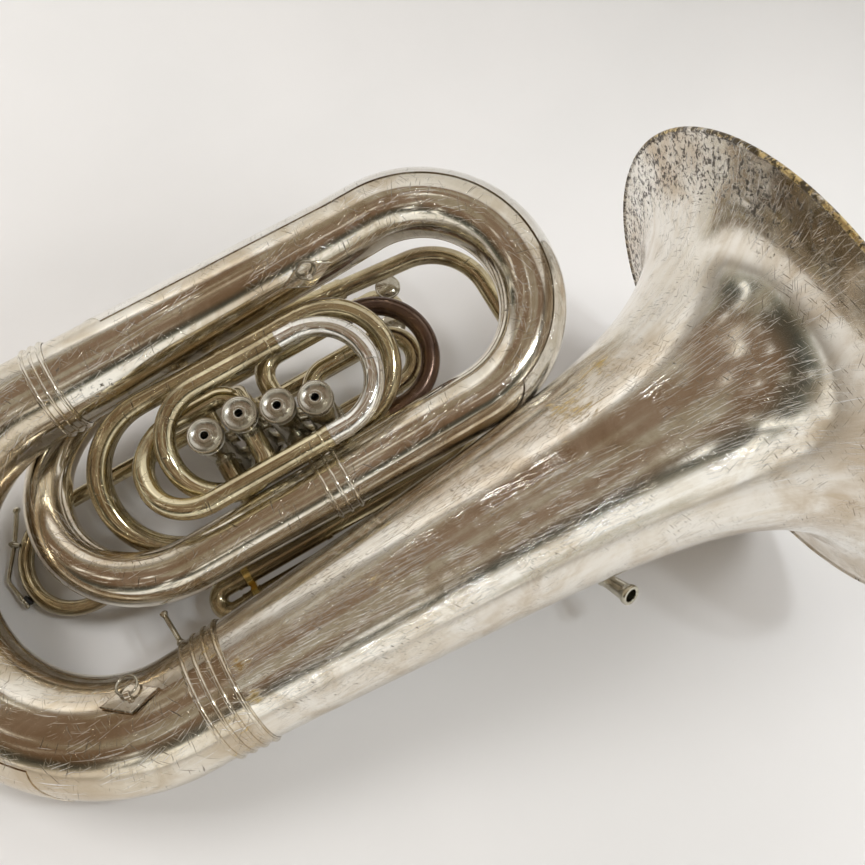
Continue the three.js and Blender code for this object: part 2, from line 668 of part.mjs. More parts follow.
// ---- strap plates and rings ----------------------------------------------------------
// A diamond plate on a wide tube, with an eye that holds a wire ring.
const RING = { radius: 9.4, wire: 1.3, lift: 6.2 };

function strap(name, { centre, heading, radius, lean }) {
  const u = new THREE.Vector3(...heading);
  const out = new THREE.Vector3(0, Math.sin(lean), Math.cos(lean));
  out.addScaledVector(u, -out.dot(u)).normalize();
  const w = out.clone().cross(u);
  const place = new THREE.Matrix4().makeBasis(u, w, out)
    .setPosition(new THREE.Vector3(...centre).addScaledVector(out, radius));
  const laid = (geometry) => geometry.applyMatrix4(place);

  const diamond = new THREE.Shape([[-27, 0], [0, -15], [27, 0], [0, 15]].map((p) => new THREE.Vector2(...p)));
  const plate = new THREE.ExtrudeGeometry(diamond, { depth: 2.2, bevelEnabled: false });
  const { lift } = RING;
  const body = solid(laid(plate))
    .add(solid(laid(cylinder(3.6, [-2.4, 0, lift], [2.4, 0, lift], 12))))
    .add(solid(laid(box([-2.4, -2.6, 1.2], [2.4, 2.6, lift]))))
    .subtract(solid(laid(cylinder(2.2, [-4, 0, lift], [4, 0, lift], 12))));
  add(`${name}_plate`, geometryOf(body), WORN_SILVER);

  const ring = new THREE.TorusGeometry(RING.radius, RING.wire, 6, 16);
  ring.deleteAttribute('uv');
  add(`${name}_ring`, laid(ring.rotateZ(Math.PI / 16).translate(0, RING.radius, lift)), NICKEL);
}

function straps() {
  const radius = OUTER_Y / 2;
  const turn = THREE.MathUtils.degToRad(258);
  strap('lower_strap', {
    centre: [BOW_X + radius * Math.cos(turn), radius + radius * Math.sin(turn), 0],
    heading: [-Math.sin(turn), Math.cos(turn), 0], radius: 58.9, lean: 0.55,
  });
  strap('upper_strap', { centre: [556, 338.2, 0], heading: X, radius: 38.4, lean: -0.95 });
}

// ---- braces ------------------------------------------------------------------------------
function brace(name, from, to, radius, flare) {
  const axis = to.map((value, i) => value - from[i]);
  const length = Math.hypot(...axis);
  const profile = [[0, 0], [flare, 0], [flare, 1.6], [radius, 4], [radius, length / 2 - 3],
    [radius + 1.6, length / 2], [radius, length / 2 + 3], [radius, length - 4], [flare, length - 1.6],
    [flare, length], [0, length]];
  add(name, turned(profile, from, axis, 10), NICKEL);
}

// ---- build -----------------------------------------------------------------------------------
bell();
ferrule('bell_ferrule', 284, 324, 0, 57.1, 60, 4, WORN_SILVER);
bottomBow();
ferrule('outer_ferrule', 277, 301, OUTER_Y, 45.3, 44.7, 3, WORN_SILVER);
upperBody();
ferrule('inner_ferrule', 467, 495, INNER_Y, 29, 29.4, 3, WORN_SILVER);
thirdBranch();
thirdSlide();
fourthSlide();
secondSlide();
firstSlide();
rearSlide();
mainSlide();
casing('valve_4', 'valve_3');
casing('valve_3', 'valve_2');
casing('valve_2', 'valve_1');
casing('valve_1', null);
Object.keys(VALVES).forEach(valveParts);
leadpipe();
waterKey();
straps();
brace('bow_brace', [283, 60.6, -4], [279, 86, -8], 2.4, 4);

tuba.updateMatrixWorld(true);
const bounds = new THREE.Box3().setFromObject(tuba, true);
const middle = bounds.getCenter(new THREE.Vector3());
pitched.position.set(-middle.x, -middle.y, -bounds.min.z);
tuba.updateMatrixWorld(true);

export default tuba;
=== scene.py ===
# A four-valve tuba with front-action pistons, lying on white paper.
#
# Shapes are given in the horn frame, in millimetres: x runs along the bell axis
# towards the rim, y across the body from the bell to the outer branch, and z
# towards the player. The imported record's joints say where that frame lies.
import bmesh
import json
import math

import bpy
from mathutils import Matrix, Quaternion, Vector


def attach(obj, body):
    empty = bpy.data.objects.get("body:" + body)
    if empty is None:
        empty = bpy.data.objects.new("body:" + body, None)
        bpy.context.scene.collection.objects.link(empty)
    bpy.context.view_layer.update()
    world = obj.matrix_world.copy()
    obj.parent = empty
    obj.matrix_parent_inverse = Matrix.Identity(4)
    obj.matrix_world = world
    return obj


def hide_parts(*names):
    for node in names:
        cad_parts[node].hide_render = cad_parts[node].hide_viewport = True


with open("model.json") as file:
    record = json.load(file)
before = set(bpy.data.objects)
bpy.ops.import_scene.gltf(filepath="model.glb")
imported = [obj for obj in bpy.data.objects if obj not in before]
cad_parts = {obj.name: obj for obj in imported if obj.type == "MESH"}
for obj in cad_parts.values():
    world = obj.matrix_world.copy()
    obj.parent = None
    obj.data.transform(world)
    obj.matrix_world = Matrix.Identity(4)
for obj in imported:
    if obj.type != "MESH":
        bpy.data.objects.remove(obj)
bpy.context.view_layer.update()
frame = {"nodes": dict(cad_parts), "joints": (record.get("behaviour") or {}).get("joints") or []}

# ---- sizes ----
GAP = 0.3                         # play between parts that move or meet
SHEET = 1.4                       # wall of the bell and the wide tubes
RIM_AT, RIM_RADIUS, RIM_WIRE = 900, 249.4, 2.9    # the rolled rim's centre and its wire
BELL_SHAPE = [                    # (x, outer radius) from the bell ferrule to the rim
    (292, 57.5), (400, 65.8), (520, 76.2), (630, 86.4), (700, 96.2), (760, 108.8),
    (805, 124.5), (842, 146), (869, 172), (888, 205), (898.2, RIM_RADIUS - 2.0),
]
OUTER_Y, INNER_Y, BOW_X = 336.5, 117.5, 265       # y of two branches, x of the bottom bow's centre
BRANCH_Z = -74                    # the narrow branch under the outer one
TOP_BEND, TOP_INNER = 109, 120.3  # the top bow's bends and its inner leg
TUBE, LEG, SLEEVE = 9.75, 9.1, 10.3               # outer radii: tubing, slide legs, fixed tubes
BAND = TUBE + 0.9                 # outer radius of a slide's end bands
VALVES = {"valve_4": (398, 208), "valve_3": (435, 210.5), "valve_2": (469, 199.4), "valve_1": (503, 188.4)}
CASE, CAP = 14.7, 16.9            # outer radii of a valve casing and of its caps
CROOK_X, CROOK_Y, CROOK_BEND = 218, 201, 56       # the leadpipe's round crook
KEY_HINGE, KEY_PAD = 143, 196     # degrees round that crook
HINGE_REACH = 15.5
X, Y, Z = (1, 0, 0), (0, 1, 0), (0, 0, 1)


def crook_at(degrees, reach=0.0):
    """A point by the leadpipe's round crook, `reach` outside its centre line."""
    turn = math.radians(degrees)
    y = CROOK_Y + (CROOK_BEND + reach) * math.sin(turn)
    x = CROOK_X + (CROOK_BEND + reach) * math.cos(turn)
    return (x, y, -62 - 22 * (y - CROOK_Y + CROOK_BEND) / (2 * CROOK_BEND))


def horn_frame():
    """The horn frame in the world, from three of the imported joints."""
    joints = {joint["name"]: joint for joint in frame["joints"]}
    along = Vector(joints["third_slide_pull"]["axis"]).normalized()
    player = Vector(joints["valve_1_press"]["axis"]).normalized()
    across = player.cross(along).normalized()
    turn = Matrix((along, across, player)).transposed()
    pin = Vector(joints["water_key_press"]["pos_m"])
    place = turn.to_4x4() @ Matrix.Scale(0.001, 4)
    place.translation = pin - turn @ (Vector(crook_at(KEY_HINGE, HINGE_REACH)) * 0.001)
    return place


HORN = horn_frame()
TURN = HORN.to_3x3().normalized()


# ---- routes ----
def route(corners, bends=0.0, step=5.0):
    """Stations (point, heading, length so far) along straight runs with rounded corners."""
    points = [Vector(corner) for corner in corners]
    heads = [(b - a).normalized() for a, b in zip(points, points[1:])]
    raw = [(points[0], heads[0])]
    for i in range(1, len(points) - 1):
        turn = heads[i - 1].angle(heads[i])
        if turn < 2e-3:
            raw.append((points[i], heads[i]))
            continue
        radius = bends[i - 1] if isinstance(bends, (list, tuple)) else bends
        axis = heads[i - 1].cross(heads[i]).normalized()
        spoke = axis.cross(heads[i - 1]) * -radius
        start = points[i] - heads[i - 1] * (radius * math.tan(turn / 2))
        steps = max(2, round(math.degrees(turn) / step))
        for k in range(steps + 1):
            spin = Quaternion(axis, turn * k / steps)
            raw.append((start - spoke + spin @ spoke, spin @ heads[i - 1]))
    raw.append((points[-1], heads[-1]))
    stations, length = [], 0.0
    for at, along in raw:
        if stations:
            gone = (at - stations[-1][0]).length
            if gone < 0.02:
                continue
            length += gone
        stations.append((at, along, length))
    return stations


def at_length(stations, far):
    """The point and heading `far` along the stations."""
    far = min(max(far, 0.0), stations[-1][2])
    for a, b in zip(stations, stations[1:]):
        if far <= b[2] + 1e-9:
            share = (far - a[2]) / (b[2] - a[2])
            return a[0].lerp(b[0], share), a[1].lerp(b[1], share).normalized()
    return stations[-1][0], stations[-1][1]


def resampled(stations, lengths, longest=40.0):
    """The stations, with more at the given lengths and none further apart than `longest`."""
    total = stations[-1][2]
    wanted = sorted({s[2] for s in stations} | {min(max(x, 0.0), total) for x in lengths})
    filled = []
    for a, b in zip(wanted, wanted[1:]):
        pieces = max(1, math.ceil((b - a) / longest))
        filled += [a + (b - a) * k / pieces for k in range(pieces)]
    filled.append(total)
    kept = [far for i, far in enumerate(filled) if i == 0 or far - filled[i - 1] > 1e-4]
    return [(*at_length(stations, far), far) for far in kept]


def framed(stations, side):
    """Adds a sideways and an upward direction to each station, carried without twist."""
    across = Vector(side)
    out = []
    for at, along, far in stations:
        across = (across - along * across.dot(along)).normalized()
        out.append((at, along, far, across, across.cross(along)))
    return out


def profile_at(profile, far):
    """The radius of a (length, radius) profile at one length."""
    for (a, ra), (b, rb) in zip(profile, profile[1:]):
        if far <= b:
            return ra + (rb - ra) * (far - a) / max(b - a, 1e-6)
    return profile[-1][1]


def smooth(points, per_span):
    """A smooth curve through the points."""
    points = [Vector(point) for point in points]
    ends = [points[0] * 2 - points[1], *points, points[-1] * 2 - points[-2]]
    out = []
    for a, b, c, d in zip(ends, ends[1:], ends[2:], ends[3:]):
        for k in range(per_span):
            t = k / per_span
            out.append(0.5 * (2 * b + (c - a) * t + (2 * a - 5 * b + 4 * c - d) * t * t
                              + (3 * b - a - 3 * c + d) * t ** 3))
    out.append(points[-1])
    return out


def bead(at, radius, rise=1.4, half=2.4, steps=6):
    """A half-round bead on a profile of (length, radius)."""
    turns = [math.pi * k / steps for k in range(steps + 1)]
    return [(at - half * math.cos(turn), radius + rise * math.sin(turn)) for turn in turns]


# ---- meshes ----
def link(obj):
    bpy.context.scene.collection.objects.link(obj)


class Shell:
    """Faces in the horn frame, with lengths along and around each one as UV."""

    def __init__(self):
        self.points, self.faces, self.uvs = [], [], []

    def rings(self, rings, marks, around):
        """Joins closed loops of points into a skin."""
        count, base = len(rings[0]), len(self.points)
        for ring in rings:
            self.points.extend(ring)
        for i, (a, b) in enumerate(zip(marks, marks[1:])):
            for j in range(count):
                k = (j + 1) % count
                low, high = base + i * count, base + (i + 1) * count
                self.faces.append((low + j, low + k, high + k, high + j))
                u, v = around * j / count, around * (j + 1) / count
                self.uvs.append(((a, u), (a, v), (b, v), (b, u)))
        return self

    def lid(self, start, count):
        """Closes the ring of `count` points that begins at `start`."""
        ring = list(range(start, start + count))
        self.faces.append(tuple(ring))
        self.uvs.append(tuple((self.points[i][0], self.points[i][1]) for i in ring))
        return self

    def tube(self, path, profile, wall=0.9, sides=40, side=Z, hollow=False):
        """A tube along the path; profile is (length, outer radius), negative from the end."""
        total = path[-1][2]
        profile = [(total + far if far < 0 else far, radius) for far, radius in profile]
        stations = framed(resampled(path, [far for far, _ in profile]), side)
        turns = [math.pi + 2 * math.pi * j / sides for j in range(sides)]
        circle = [(math.cos(turn), math.sin(turn)) for turn in turns]

        def ring(station, radius):
            at, _, _, across, up = station
            return [at + across * (c * radius) + up * (s * radius) for c, s in circle]

        radii = [profile_at(profile, station[2]) for station in stations]
        rings = [ring(s, r) for s, r in zip(stations, radii)]
        marks = [s[2] for s in stations]
        around = 2 * math.pi * sum(radii) / len(radii)
        first, last = stations[0], stations[-1]
        if hollow:
            inside = list(reversed([ring(s, r - wall) for s, r in zip(stations, radii)]))
            rings += inside + [rings[0]]
            marks += [2 * total - m for m in reversed(marks)] + [2 * total]
            self.rings(rings, marks, around)
            return self
        depth = min(12.0, total / 3)

        def plug(station, radius, inward):
            at, along, far, across, up = station
            moved = (at + along * inward, along, far, across, up)
            return [ring(station, radius - wall), ring(moved, radius - wall)]

        start = plug(first, radii[0], depth)
        end = plug(last, radii[-1], -depth)
        rings = [start[1], start[0], *rings, end[0], end[1]]
        marks = [-depth, -1.0, *marks, total + 1.0, total + depth]
        base = len(self.points)
        self.rings(rings, marks, around)
        self.lid(base, sides)
        self.lid(base + sides * (len(rings) - 1), sides)
        return self

    def turned(self, profile, at, axis, sides=64):
        """A turned piece; profile is (radius, height), closed if it ends where it begins."""
        at, axis = Vector(at), Vector(axis).normalized()
        spin = Vector(Z).rotation_difference(axis)
        u, v = spin @ Vector(X), spin @ Vector(Y)
        rings, marks, length = [], [], 0.0
        for i, (radius, height) in enumerate(profile):
            if i:
                length += math.dist(profile[i - 1], (radius, height))
            r = max(radius, 0.01)
            rings.append([at + axis * height + u * (r * math.cos(2 * math.pi * j / sides))
                          + v * (r * math.sin(2 * math.pi * j / sides)) for j in range(sides)])
            marks.append(length)
        around = 2 * math.pi * max(radius for radius, _ in profile)
        base = len(self.points)
        self.rings(rings, marks, around)
        if math.dist(profile[0], profile[-1]) > 1e-6:
            self.lid(base, sides)
            self.lid(base + sides * (len(rings) - 1), sides)
        return self

    def rod(self, start, end, radius, sides=24, edge=0.4):
        """A straight round bar with softened ends."""
        start, end = Vector(start), Vector(end)
        length = (end - start).length
        edge = min(edge, radius / 2, length / 3)
        return self.turned([(radius - edge, 0), (radius, edge), (radius, length - edge),
                            (radius - edge, length)], start, end - start, sides)

    def ring(self, radius, wire, place, sides=64, round_=20):
        """A wire ring in the plane of `place`."""
        loops = []
        for i in range(sides + 1):
            a = 2 * math.pi * (i % sides) / sides
            out = Vector((math.cos(a), math.sin(a), 0))
            loops.append([place @ (out * (radius + wire * math.cos(2 * math.pi * j / round_))
                                   + Vector(Z) * (wire * math.sin(2 * math.pi * j / round_)))
                          for j in range(round_)])
        return self.rings(loops, [2 * math.pi * radius * i / sides for i in range(sides + 1)],
                          2 * math.pi * wire)

    def plate(self, path, side, half, clear, thick):
        """A curved plate over the side of a tube; half gives its half angle at each length."""
        stations = framed(path, side)
        rings, marks = [], []
        spans = 24
        for at, _, far, across, up in stations:
            wide, near = half(far), clear(far)

            def spot(turn, reach):
                return at + across * (reach * math.cos(turn)) + up * (reach * math.sin(turn))

            turns = [wide * (2 * k / spans - 1) for k in range(spans + 1)]
            rings.append([spot(t, near + thick) for t in turns] + [spot(t, near) for t in reversed(turns)])
            marks.append(far)
        base, count = len(self.points), 2 * (spans + 1)
        self.rings(rings, marks, count * 4.0)
        self.lid(base, count)
        self.lid(base + count * (len(rings) - 1), count)
        return self

    def piece(self, name, body, slot, material, replaces=(), sharp=32.0):
        """Makes the object, rides it on a body and hides the CAD nodes that it replaces."""
        mesh = bpy.data.meshes.new(name)
        mesh.from_pydata([HORN @ point for point in self.points], [], self.faces)
        layer = mesh.uv_layers.new(name="length")
        corner = 0
        for face in self.uvs:
            for u, v in face:
                layer.data[corner].uv = (u * 0.001, v * 0.001)
                corner += 1
        work = bmesh.new()
        work.from_mesh(mesh)
        bmesh.ops.remove_doubles(work, verts=work.verts, dist=1e-7)
        bmesh.ops.recalc_face_normals(work, faces=work.faces)
        work.to_mesh(mesh)
        work.free()
        mesh.polygons.foreach_set("use_smooth", [True] * len(mesh.polygons))
        mesh.set_sharp_from_angle(angle=math.radians(sharp))
        mesh.update()
        obj = bpy.data.objects.new(name, mesh)
        link(obj)
        mesh.materials.append(material)
        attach(obj, body)
        if replaces:
            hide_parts(*replaces)
        return obj


def paint(obj, name, value):
    """Stores value(point in the horn frame) at each vertex, for the materials' wear."""
    back = HORN.inverted()
    layer = obj.data.attributes.new(name, "FLOAT", "POINT")
    layer.data.foreach_set("value", [value(back @ v.co) for v in obj.data.vertices])


def ease(low, high, value):
    """0 below low, 1 above high, smooth between them."""
    t = min(1.0, max(0.0, (value - low) / (high - low)))
    return t * t * (3 - 2 * t)


def spots(point, places):
    """How far inside the nearest of the places (centre, reach, strength) a point is."""
    return max(strength * (1 - ease(0, reach, (point - Vector(at)).length)) for at, reach,
               strength in places)


# ---- materials ----
class Paint:
    """A node material put together step by step."""

    def __init__(self, name):
        self.material = bpy.data.materials.new(name)
        self.material.use_nodes = True
        self.tree = self.material.node_tree
        self.tree.nodes.clear()
        self.coord = self.tree.nodes.new("ShaderNodeTexCoord")

    def put(self, target, value):
        if isinstance(value, bpy.types.NodeSocket):
            self.tree.links.new(value, target)
        else:
            target.default_value = value

    def noise(self, scale, detail=4.0, rough=0.55, warp=0.0, source="Object", stretch=(1, 1, 1), spin=0.0,
              shift=0.0,
              kind="POINT"):
        place = self.tree.nodes.new("ShaderNodeMapping")
        place.vector_type = kind
        self.put(place.inputs["Vector"], self.coord.outputs[source])
        place.inputs["Location"].default_value = (shift, shift * 0.7, shift * 0.3)
        place.inputs["Rotation"].default_value = (0, 0, spin)
        place.inputs["Scale"].default_value = stretch
        node = self.tree.nodes.new("ShaderNodeTexNoise")
        self.put(node.inputs["Vector"], place.outputs["Vector"])
        for socket, value in (("Scale", scale), ("Detail", detail), ("Roughness", rough),
                              ("Distortion", warp)):
            node.inputs[socket].default_value = value
        return node.outputs["Fac"]

    def hairlines(self, long, wide, spin, limit, shift):
        """Short fine lines that run at the angle `spin` to the tube."""
        line = self.noise(1.0, 1.6, 0.5, 0.12, "UV", (long, wide, 1), spin, shift, "TEXTURE")
        return self.between(line, limit, limit + 0.05)

    def math(self, operation, a, b=0.0, clamp=False):
        node = self.tree.nodes.new("ShaderNodeMath")
        node.operation, node.use_clamp = operation, clamp
        self.put(node.inputs[0], a)
        self.put(node.inputs[1], b)
        return node.outputs["Value"]

    def plus(self, a, b, share, clamp=False):
        return self.math("ADD", a, self.math("MULTIPLY", b, share), clamp)

    def blend(self, a, x, b, y):
        return self.plus(self.math("MULTIPLY", a, x), b, y)

    def over(self, below, top, mask, share):
        return self.mix(self.math("MULTIPLY", mask, share), below, top)

    def between(self, value, low, high, to=(0.0, 1.0)):
        node = self.tree.nodes.new("ShaderNodeMapRange")
        node.interpolation_type = "SMOOTHSTEP"
        for socket, entry in (("Value", value), ("From Min", low), ("From Max", high), ("To Min", to[0]),
                              ("To Max", to[1])):
            self.put(node.inputs[socket], entry)
        return node.outputs["Result"]

    def mix(self, share, a, b):
        node = self.tree.nodes.new("ShaderNodeMix")
        node.data_type = "RGBA"
        self.put(node.inputs["Factor"], share)
        self.put(node.inputs["A"], a if isinstance(a, bpy.types.NodeSocket) else (*a, 1.0))
        self.put(node.inputs["B"], b if isinstance(b, bpy.types.NodeSocket) else (*b, 1.0))
        return node.outputs["Result"]

    def attribute(self, name):
        node = self.tree.nodes.new("ShaderNodeAttribute")
        node.attribute_name = name
        return node.outputs["Fac"]

    def bump(self, height, strength, distance, before=None):
        node = self.tree.nodes.new("ShaderNodeBump")
        node.inputs["Strength"].default_value = strength
        node.inputs["Distance"].default_value = distance
        self.put(node.inputs["Height"], height)
        if before is not None:
            self.put(node.inputs["Normal"], before)
        return node.outputs["Normal"]

    def finish(self, color, rough, normal, metallic=1.0, specular=0.5):
        shader = self.tree.nodes.new("ShaderNodeBsdfPrincipled")
        self.put(shader.inputs["Base Color"], color)
        self.put(shader.inputs["Roughness"], rough)
        self.put(shader.inputs["Metallic"], metallic)
        shader.inputs["Specular IOR Level"].default_value = specular
        self.put(shader.inputs["Normal"], normal)
        out = self.tree.nodes.new("ShaderNodeOutputMaterial")
        self.tree.links.new(shader.outputs["BSDF"], out.inputs["Surface"])
        return self.material


def metal(name, tone, second, film, wear, stain, film_at=(0.45, 0.7), wear_at=(0.72, 0.76),
          stain_at=(0.68, 0.74),
          rough=(0.14, 0.3), scratch=0.6, dents=0.5, shift=0.0):
    """Old polished metal: two tones in long streaks, a tarnish film, patches worn
    through the plating, dark stains, scratches and small dents."""
    p = Paint(name)
    broad = p.noise(5.5, 3, 0.5, 0.6, shift=shift)
    cloud = p.noise(17, 6, 0.62, 0.9, shift=shift + 3)
    grain = p.noise(120, 7, 0.7, 0.3, shift=shift + 5)
    streak = p.noise(7, 5, 0.6, 0.3, "UV", (1.2, 9, 1), shift=shift)
    fleck = p.noise(185, 8, 0.7, 0.5, shift=shift + 9)

    color = p.mix(p.between(p.blend(streak, 0.45, cloud, 0.55), 0.4, 0.62), tone, second)
    filmed = p.between(p.blend(broad, 0.55, cloud, 0.45), *film_at)
    color = p.over(color, film, filmed, 0.85)
    color = p.over(color, film, p.between(grain, 0.5, 0.75), 0.22)

    torn = p.noise(62, 9, 0.76, 0.5, "UV", (0.6, 1.25, 1), shift=shift + 15)
    ragged = p.blend(cloud, 0.4, torn, 0.6)
    worn = p.between(p.plus(ragged, p.attribute("worn"), 0.36), *wear_at)
    color = p.over(color, wear, worn, 0.85)
    dirty = p.between(p.plus(fleck, p.attribute("stained"), 0.22), *stain_at)
    dirty = p.math("MULTIPLY", dirty, p.between(grain, 0.35, 0.5))
    color = p.over(color, stain, dirty, 0.88)

    patchy = p.between(p.noise(19, 3, 0.5, shift=shift + 13), 0.38, 0.5)
    bright = p.math("MAXIMUM", p.hairlines(0.03, 0.0012, 0.45, 0.645, 0.1),
                    p.hairlines(0.05, 0.0013, 0.06, 0.645, 0.6))
    deep = p.math("MAXIMUM", p.hairlines(0.024, 0.0012, -0.9, 0.66, 0.3),
                  p.hairlines(0.02, 0.0012, 1.4, 0.66, 0.8))
    bright = p.math("MULTIPLY", bright, patchy)
    deep = p.math("MULTIPLY", deep, patchy)
    scored = p.math("MAXIMUM", bright, deep)
    color = p.over(color, tuple(min(1.0, channel * 1.2 + 0.12) for channel in tone), bright, scratch)
    color = p.over(color, tuple(channel * 0.35 for channel in film), deep, scratch)

    gloss = p.between(p.blend(streak, 0.5, cloud, 0.5), 0.35, 0.65, rough)
    gloss = p.plus(gloss, worn, 0.12)
    gloss = p.plus(gloss, dirty, 0.3)
    gloss = p.plus(gloss, grain, 0.06, clamp=True)

    normal = p.bump(p.noise(9, 2, 0.4, 0.2, shift=shift + 21), 0.35 * dents, 0.004)
    normal = p.bump(p.noise(34, 2, 0.5, 0.4, shift=shift + 33), 0.22 * dents, 0.0012, normal)
    normal = p.bump(p.math("SUBTRACT", p.math("MULTIPLY", dirty, 0.5), p.math("ADD", scored, worn)), 0.45,
                    0.0003, normal)
    normal = p.bump(grain, 0.1, 0.0002, normal)
    return p.finish(color, gloss, normal)


def turned_metal(name, tone, second, film, rough=(0.2, 0.34)):
    """Satin metal off the lathe, with fine rings from the tool and dark grime in places."""
    p = Paint(name)
    rings = p.noise(900, 3, 0.6, 0.0, "UV", (1, 0.02, 1))
    cloud = p.noise(70, 5, 0.6, 0.6)
    grime = p.noise(210, 6, 0.7, 0.8, shift=4)
    color = p.mix(p.between(cloud, 0.35, 0.68), tone, second)
    color = p.over(color, film, p.between(rings, 0.3, 0.7), 0.3)
    dirt = p.between(grime, 0.6, 0.72)
    color = p.over(color, film, dirt, 0.75)
    gloss = p.plus(p.between(cloud, 0.35, 0.65, rough), dirt, 0.2)
    normal = p.bump(rings, 0.18, 0.0001)
    normal = p.bump(grime, 0.15, 0.0002, normal)
    return p.finish(color, gloss, normal)


def rubber(name):
    """Matt black rubber with a fine grain."""
    p = Paint(name)
    grain = p.noise(900, 6, 0.7)
    cloud = p.noise(160, 4, 0.6, 0.4)
    color = p.mix(p.between(cloud, 0.35, 0.7), (0.012, 0.011, 0.011), (0.035, 0.032, 0.03))
    rough = p.between(grain, 0.3, 0.7, (0.5, 0.75))
    return p.finish(color, rough, p.bump(grain, 0.3, 0.0002), 0.0)


def paper(name, tone, second):
    """Matt paper with faint clouds."""
    p = Paint(name)
    cloud = p.noise(1.7, 4, 0.5, 0.3)
    grain = p.noise(240, 4, 0.6)
    color = p.mix(p.between(cloud, 0.35, 0.65), tone, second)
    normal = p.bump(grain, 0.1, 0.0004)
    return p.finish(color, p.between(grain, 0.3, 0.7, (0.55, 0.7)), normal, 0.0, 0.3)


SILVER = (0.90, 0.87, 0.80)
WARM_SILVER = (0.80, 0.74, 0.63)
TARNISH = (0.56, 0.455, 0.33)
BRASS = (0.74, 0.56, 0.24)
DARK = (0.06, 0.05, 0.04)

bell_silver = metal("bell_silver", SILVER, WARM_SILVER, TARNISH, BRASS, DARK, (0.43, 0.62), (0.69, 0.77),
                    (0.725, 0.765), (0.07, 0.17), 0.8, 0.6)
bow_silver = metal("bow_silver", (0.86, 0.82, 0.73), (0.73, 0.66, 0.53), (0.54, 0.44, 0.31), BRASS, DARK,
                   (0.42, 0.64), (0.69, 0.75), (0.70, 0.76), (0.05, 0.15), 0.8, 0.6, 40.0)
clean_silver = metal("clean_silver", (0.93, 0.92, 0.88), (0.86, 0.83, 0.77), (0.66, 0.58, 0.46), BRASS,
                     DARK,
                     (0.5, 0.75), (0.78, 0.8), (0.72, 0.78), (0.05, 0.12), 0.6, 0.4, 12.0)
dull_brass = metal("dull_brass", (0.68, 0.595, 0.39), (0.55, 0.475, 0.31), (0.30, 0.235, 0.15),
                   (0.76, 0.64, 0.38), DARK, (0.43, 0.64), (0.68, 0.74), (0.66, 0.74), (0.07, 0.19), 0.7,
                   0.4, 25.0)
brown_brass = metal("brown_brass", (0.25, 0.165, 0.11), (0.16, 0.105, 0.08), (0.09, 0.06, 0.05),
                    (0.62, 0.5, 0.27),
                    DARK, (0.46, 0.66), (0.69, 0.74), (0.7, 0.78), (0.12, 0.24), 0.4, 0.4, 60.0)
yellow_brass = metal("yellow_brass", (0.80, 0.72, 0.50), (0.66, 0.58, 0.39), (0.40, 0.32, 0.2),
                     (0.8, 0.69, 0.42), DARK, (0.44, 0.66), (0.7, 0.75), (0.7, 0.78), (0.06, 0.16), 0.7,
                     0.4, 33.0)
bright_brass = metal("bright_brass", (0.88, 0.70, 0.29), (0.80, 0.61, 0.23), (0.55, 0.4, 0.14),
                     (0.9, 0.76, 0.42), DARK, (0.55, 0.8), (0.76, 0.8), (0.74, 0.8), (0.1, 0.2), 0.5, 0.3,
                     71.0)
nickel = metal("nickel", (0.62, 0.59, 0.49), (0.50, 0.47, 0.38), (0.28, 0.24, 0.18), (0.66, 0.6, 0.45),
               DARK,
               (0.46, 0.66), (0.72, 0.77), (0.66, 0.73), (0.10, 0.22), 0.6, 0.3, 81.0)
satin_nickel = turned_metal("satin_nickel", (0.72, 0.69, 0.61), (0.60, 0.56, 0.47), (0.26, 0.22, 0.17))
rubber_black = rubber("rubber_black")
steel = turned_metal("steel", (0.55, 0.55, 0.55), (0.42, 0.42, 0.42), (0.2, 0.19, 0.18))

# The body, slot and material of the fixed pieces
PLATED = ("horn", "worn_silver", bow_silver)
NICKEL = ("horn", "nickel", nickel)
SATIN = ("horn", "nickel", satin_nickel)
DULL = ("horn", "dull_brass", dull_brass)

# ---- bell and ferrules ----
outer = [(p[0], p[1]) for p in smooth([(x, r, 0) for x, r in BELL_SHAPE], 8)]
rolled = [(RIM_AT + RIM_WIRE * math.sin(t), RIM_RADIUS + RIM_WIRE * math.cos(t))
          for t in [math.radians(-85 + 18 * k) for k in range(15)]]
inner = []
for x, r in reversed(outer):
    flare = ease(700, 898, x)     # the wall turns from across the axis to along it
    inner.append((x + SHEET * flare, r - SHEET * (1 - flare * 0.6)))
bell_profile = [(r, x) for x, r in outer + rolled + inner + [outer[0]]]
bell = Shell().turned(bell_profile, (0, 0, 0), X, 180).piece("bell_shell", "horn", "worn_silver",
                                                             bell_silver,
                                                      ["bell_stem", "bell_throat", "bell_flare"])


def bell_stain(point):
    """Dark specks: most near the rim and on the upper side."""
    reach = math.hypot(point.y, point.z)
    near_rim = ease(150, 215, reach) * (1 - 0.25 * ease(235, 246, reach))
    upper = ease(-40, 120, point.y)
    return near_rim * (0.35 + 0.65 * upper) + 0.55 * ease(246, 249, reach)


def bell_wear(point):
    """Plating worn through: the rim, the places where hands and arms rub."""
    reach = math.hypot(point.y, point.z)
    rim = 0.75 * ease(247, 251, reach)
    return max(rim, spots(point, [
        ((700, 60, 75), 75, 0.62), ((735, 85, 70), 60, 0.55), ((655, 30, 82), 60, 0.45),
        ((470, 5, 72), 60, 0.5), ((530, -15, 75), 55, 0.4), ((334, 10, 60), 26, 0.9),
        ((330, -20, 56), 24, 0.75), ((340, 40, 45), 20, 0.55)]))


paint(bell, "stained", bell_stain)
paint(bell, "worn", bell_wear)


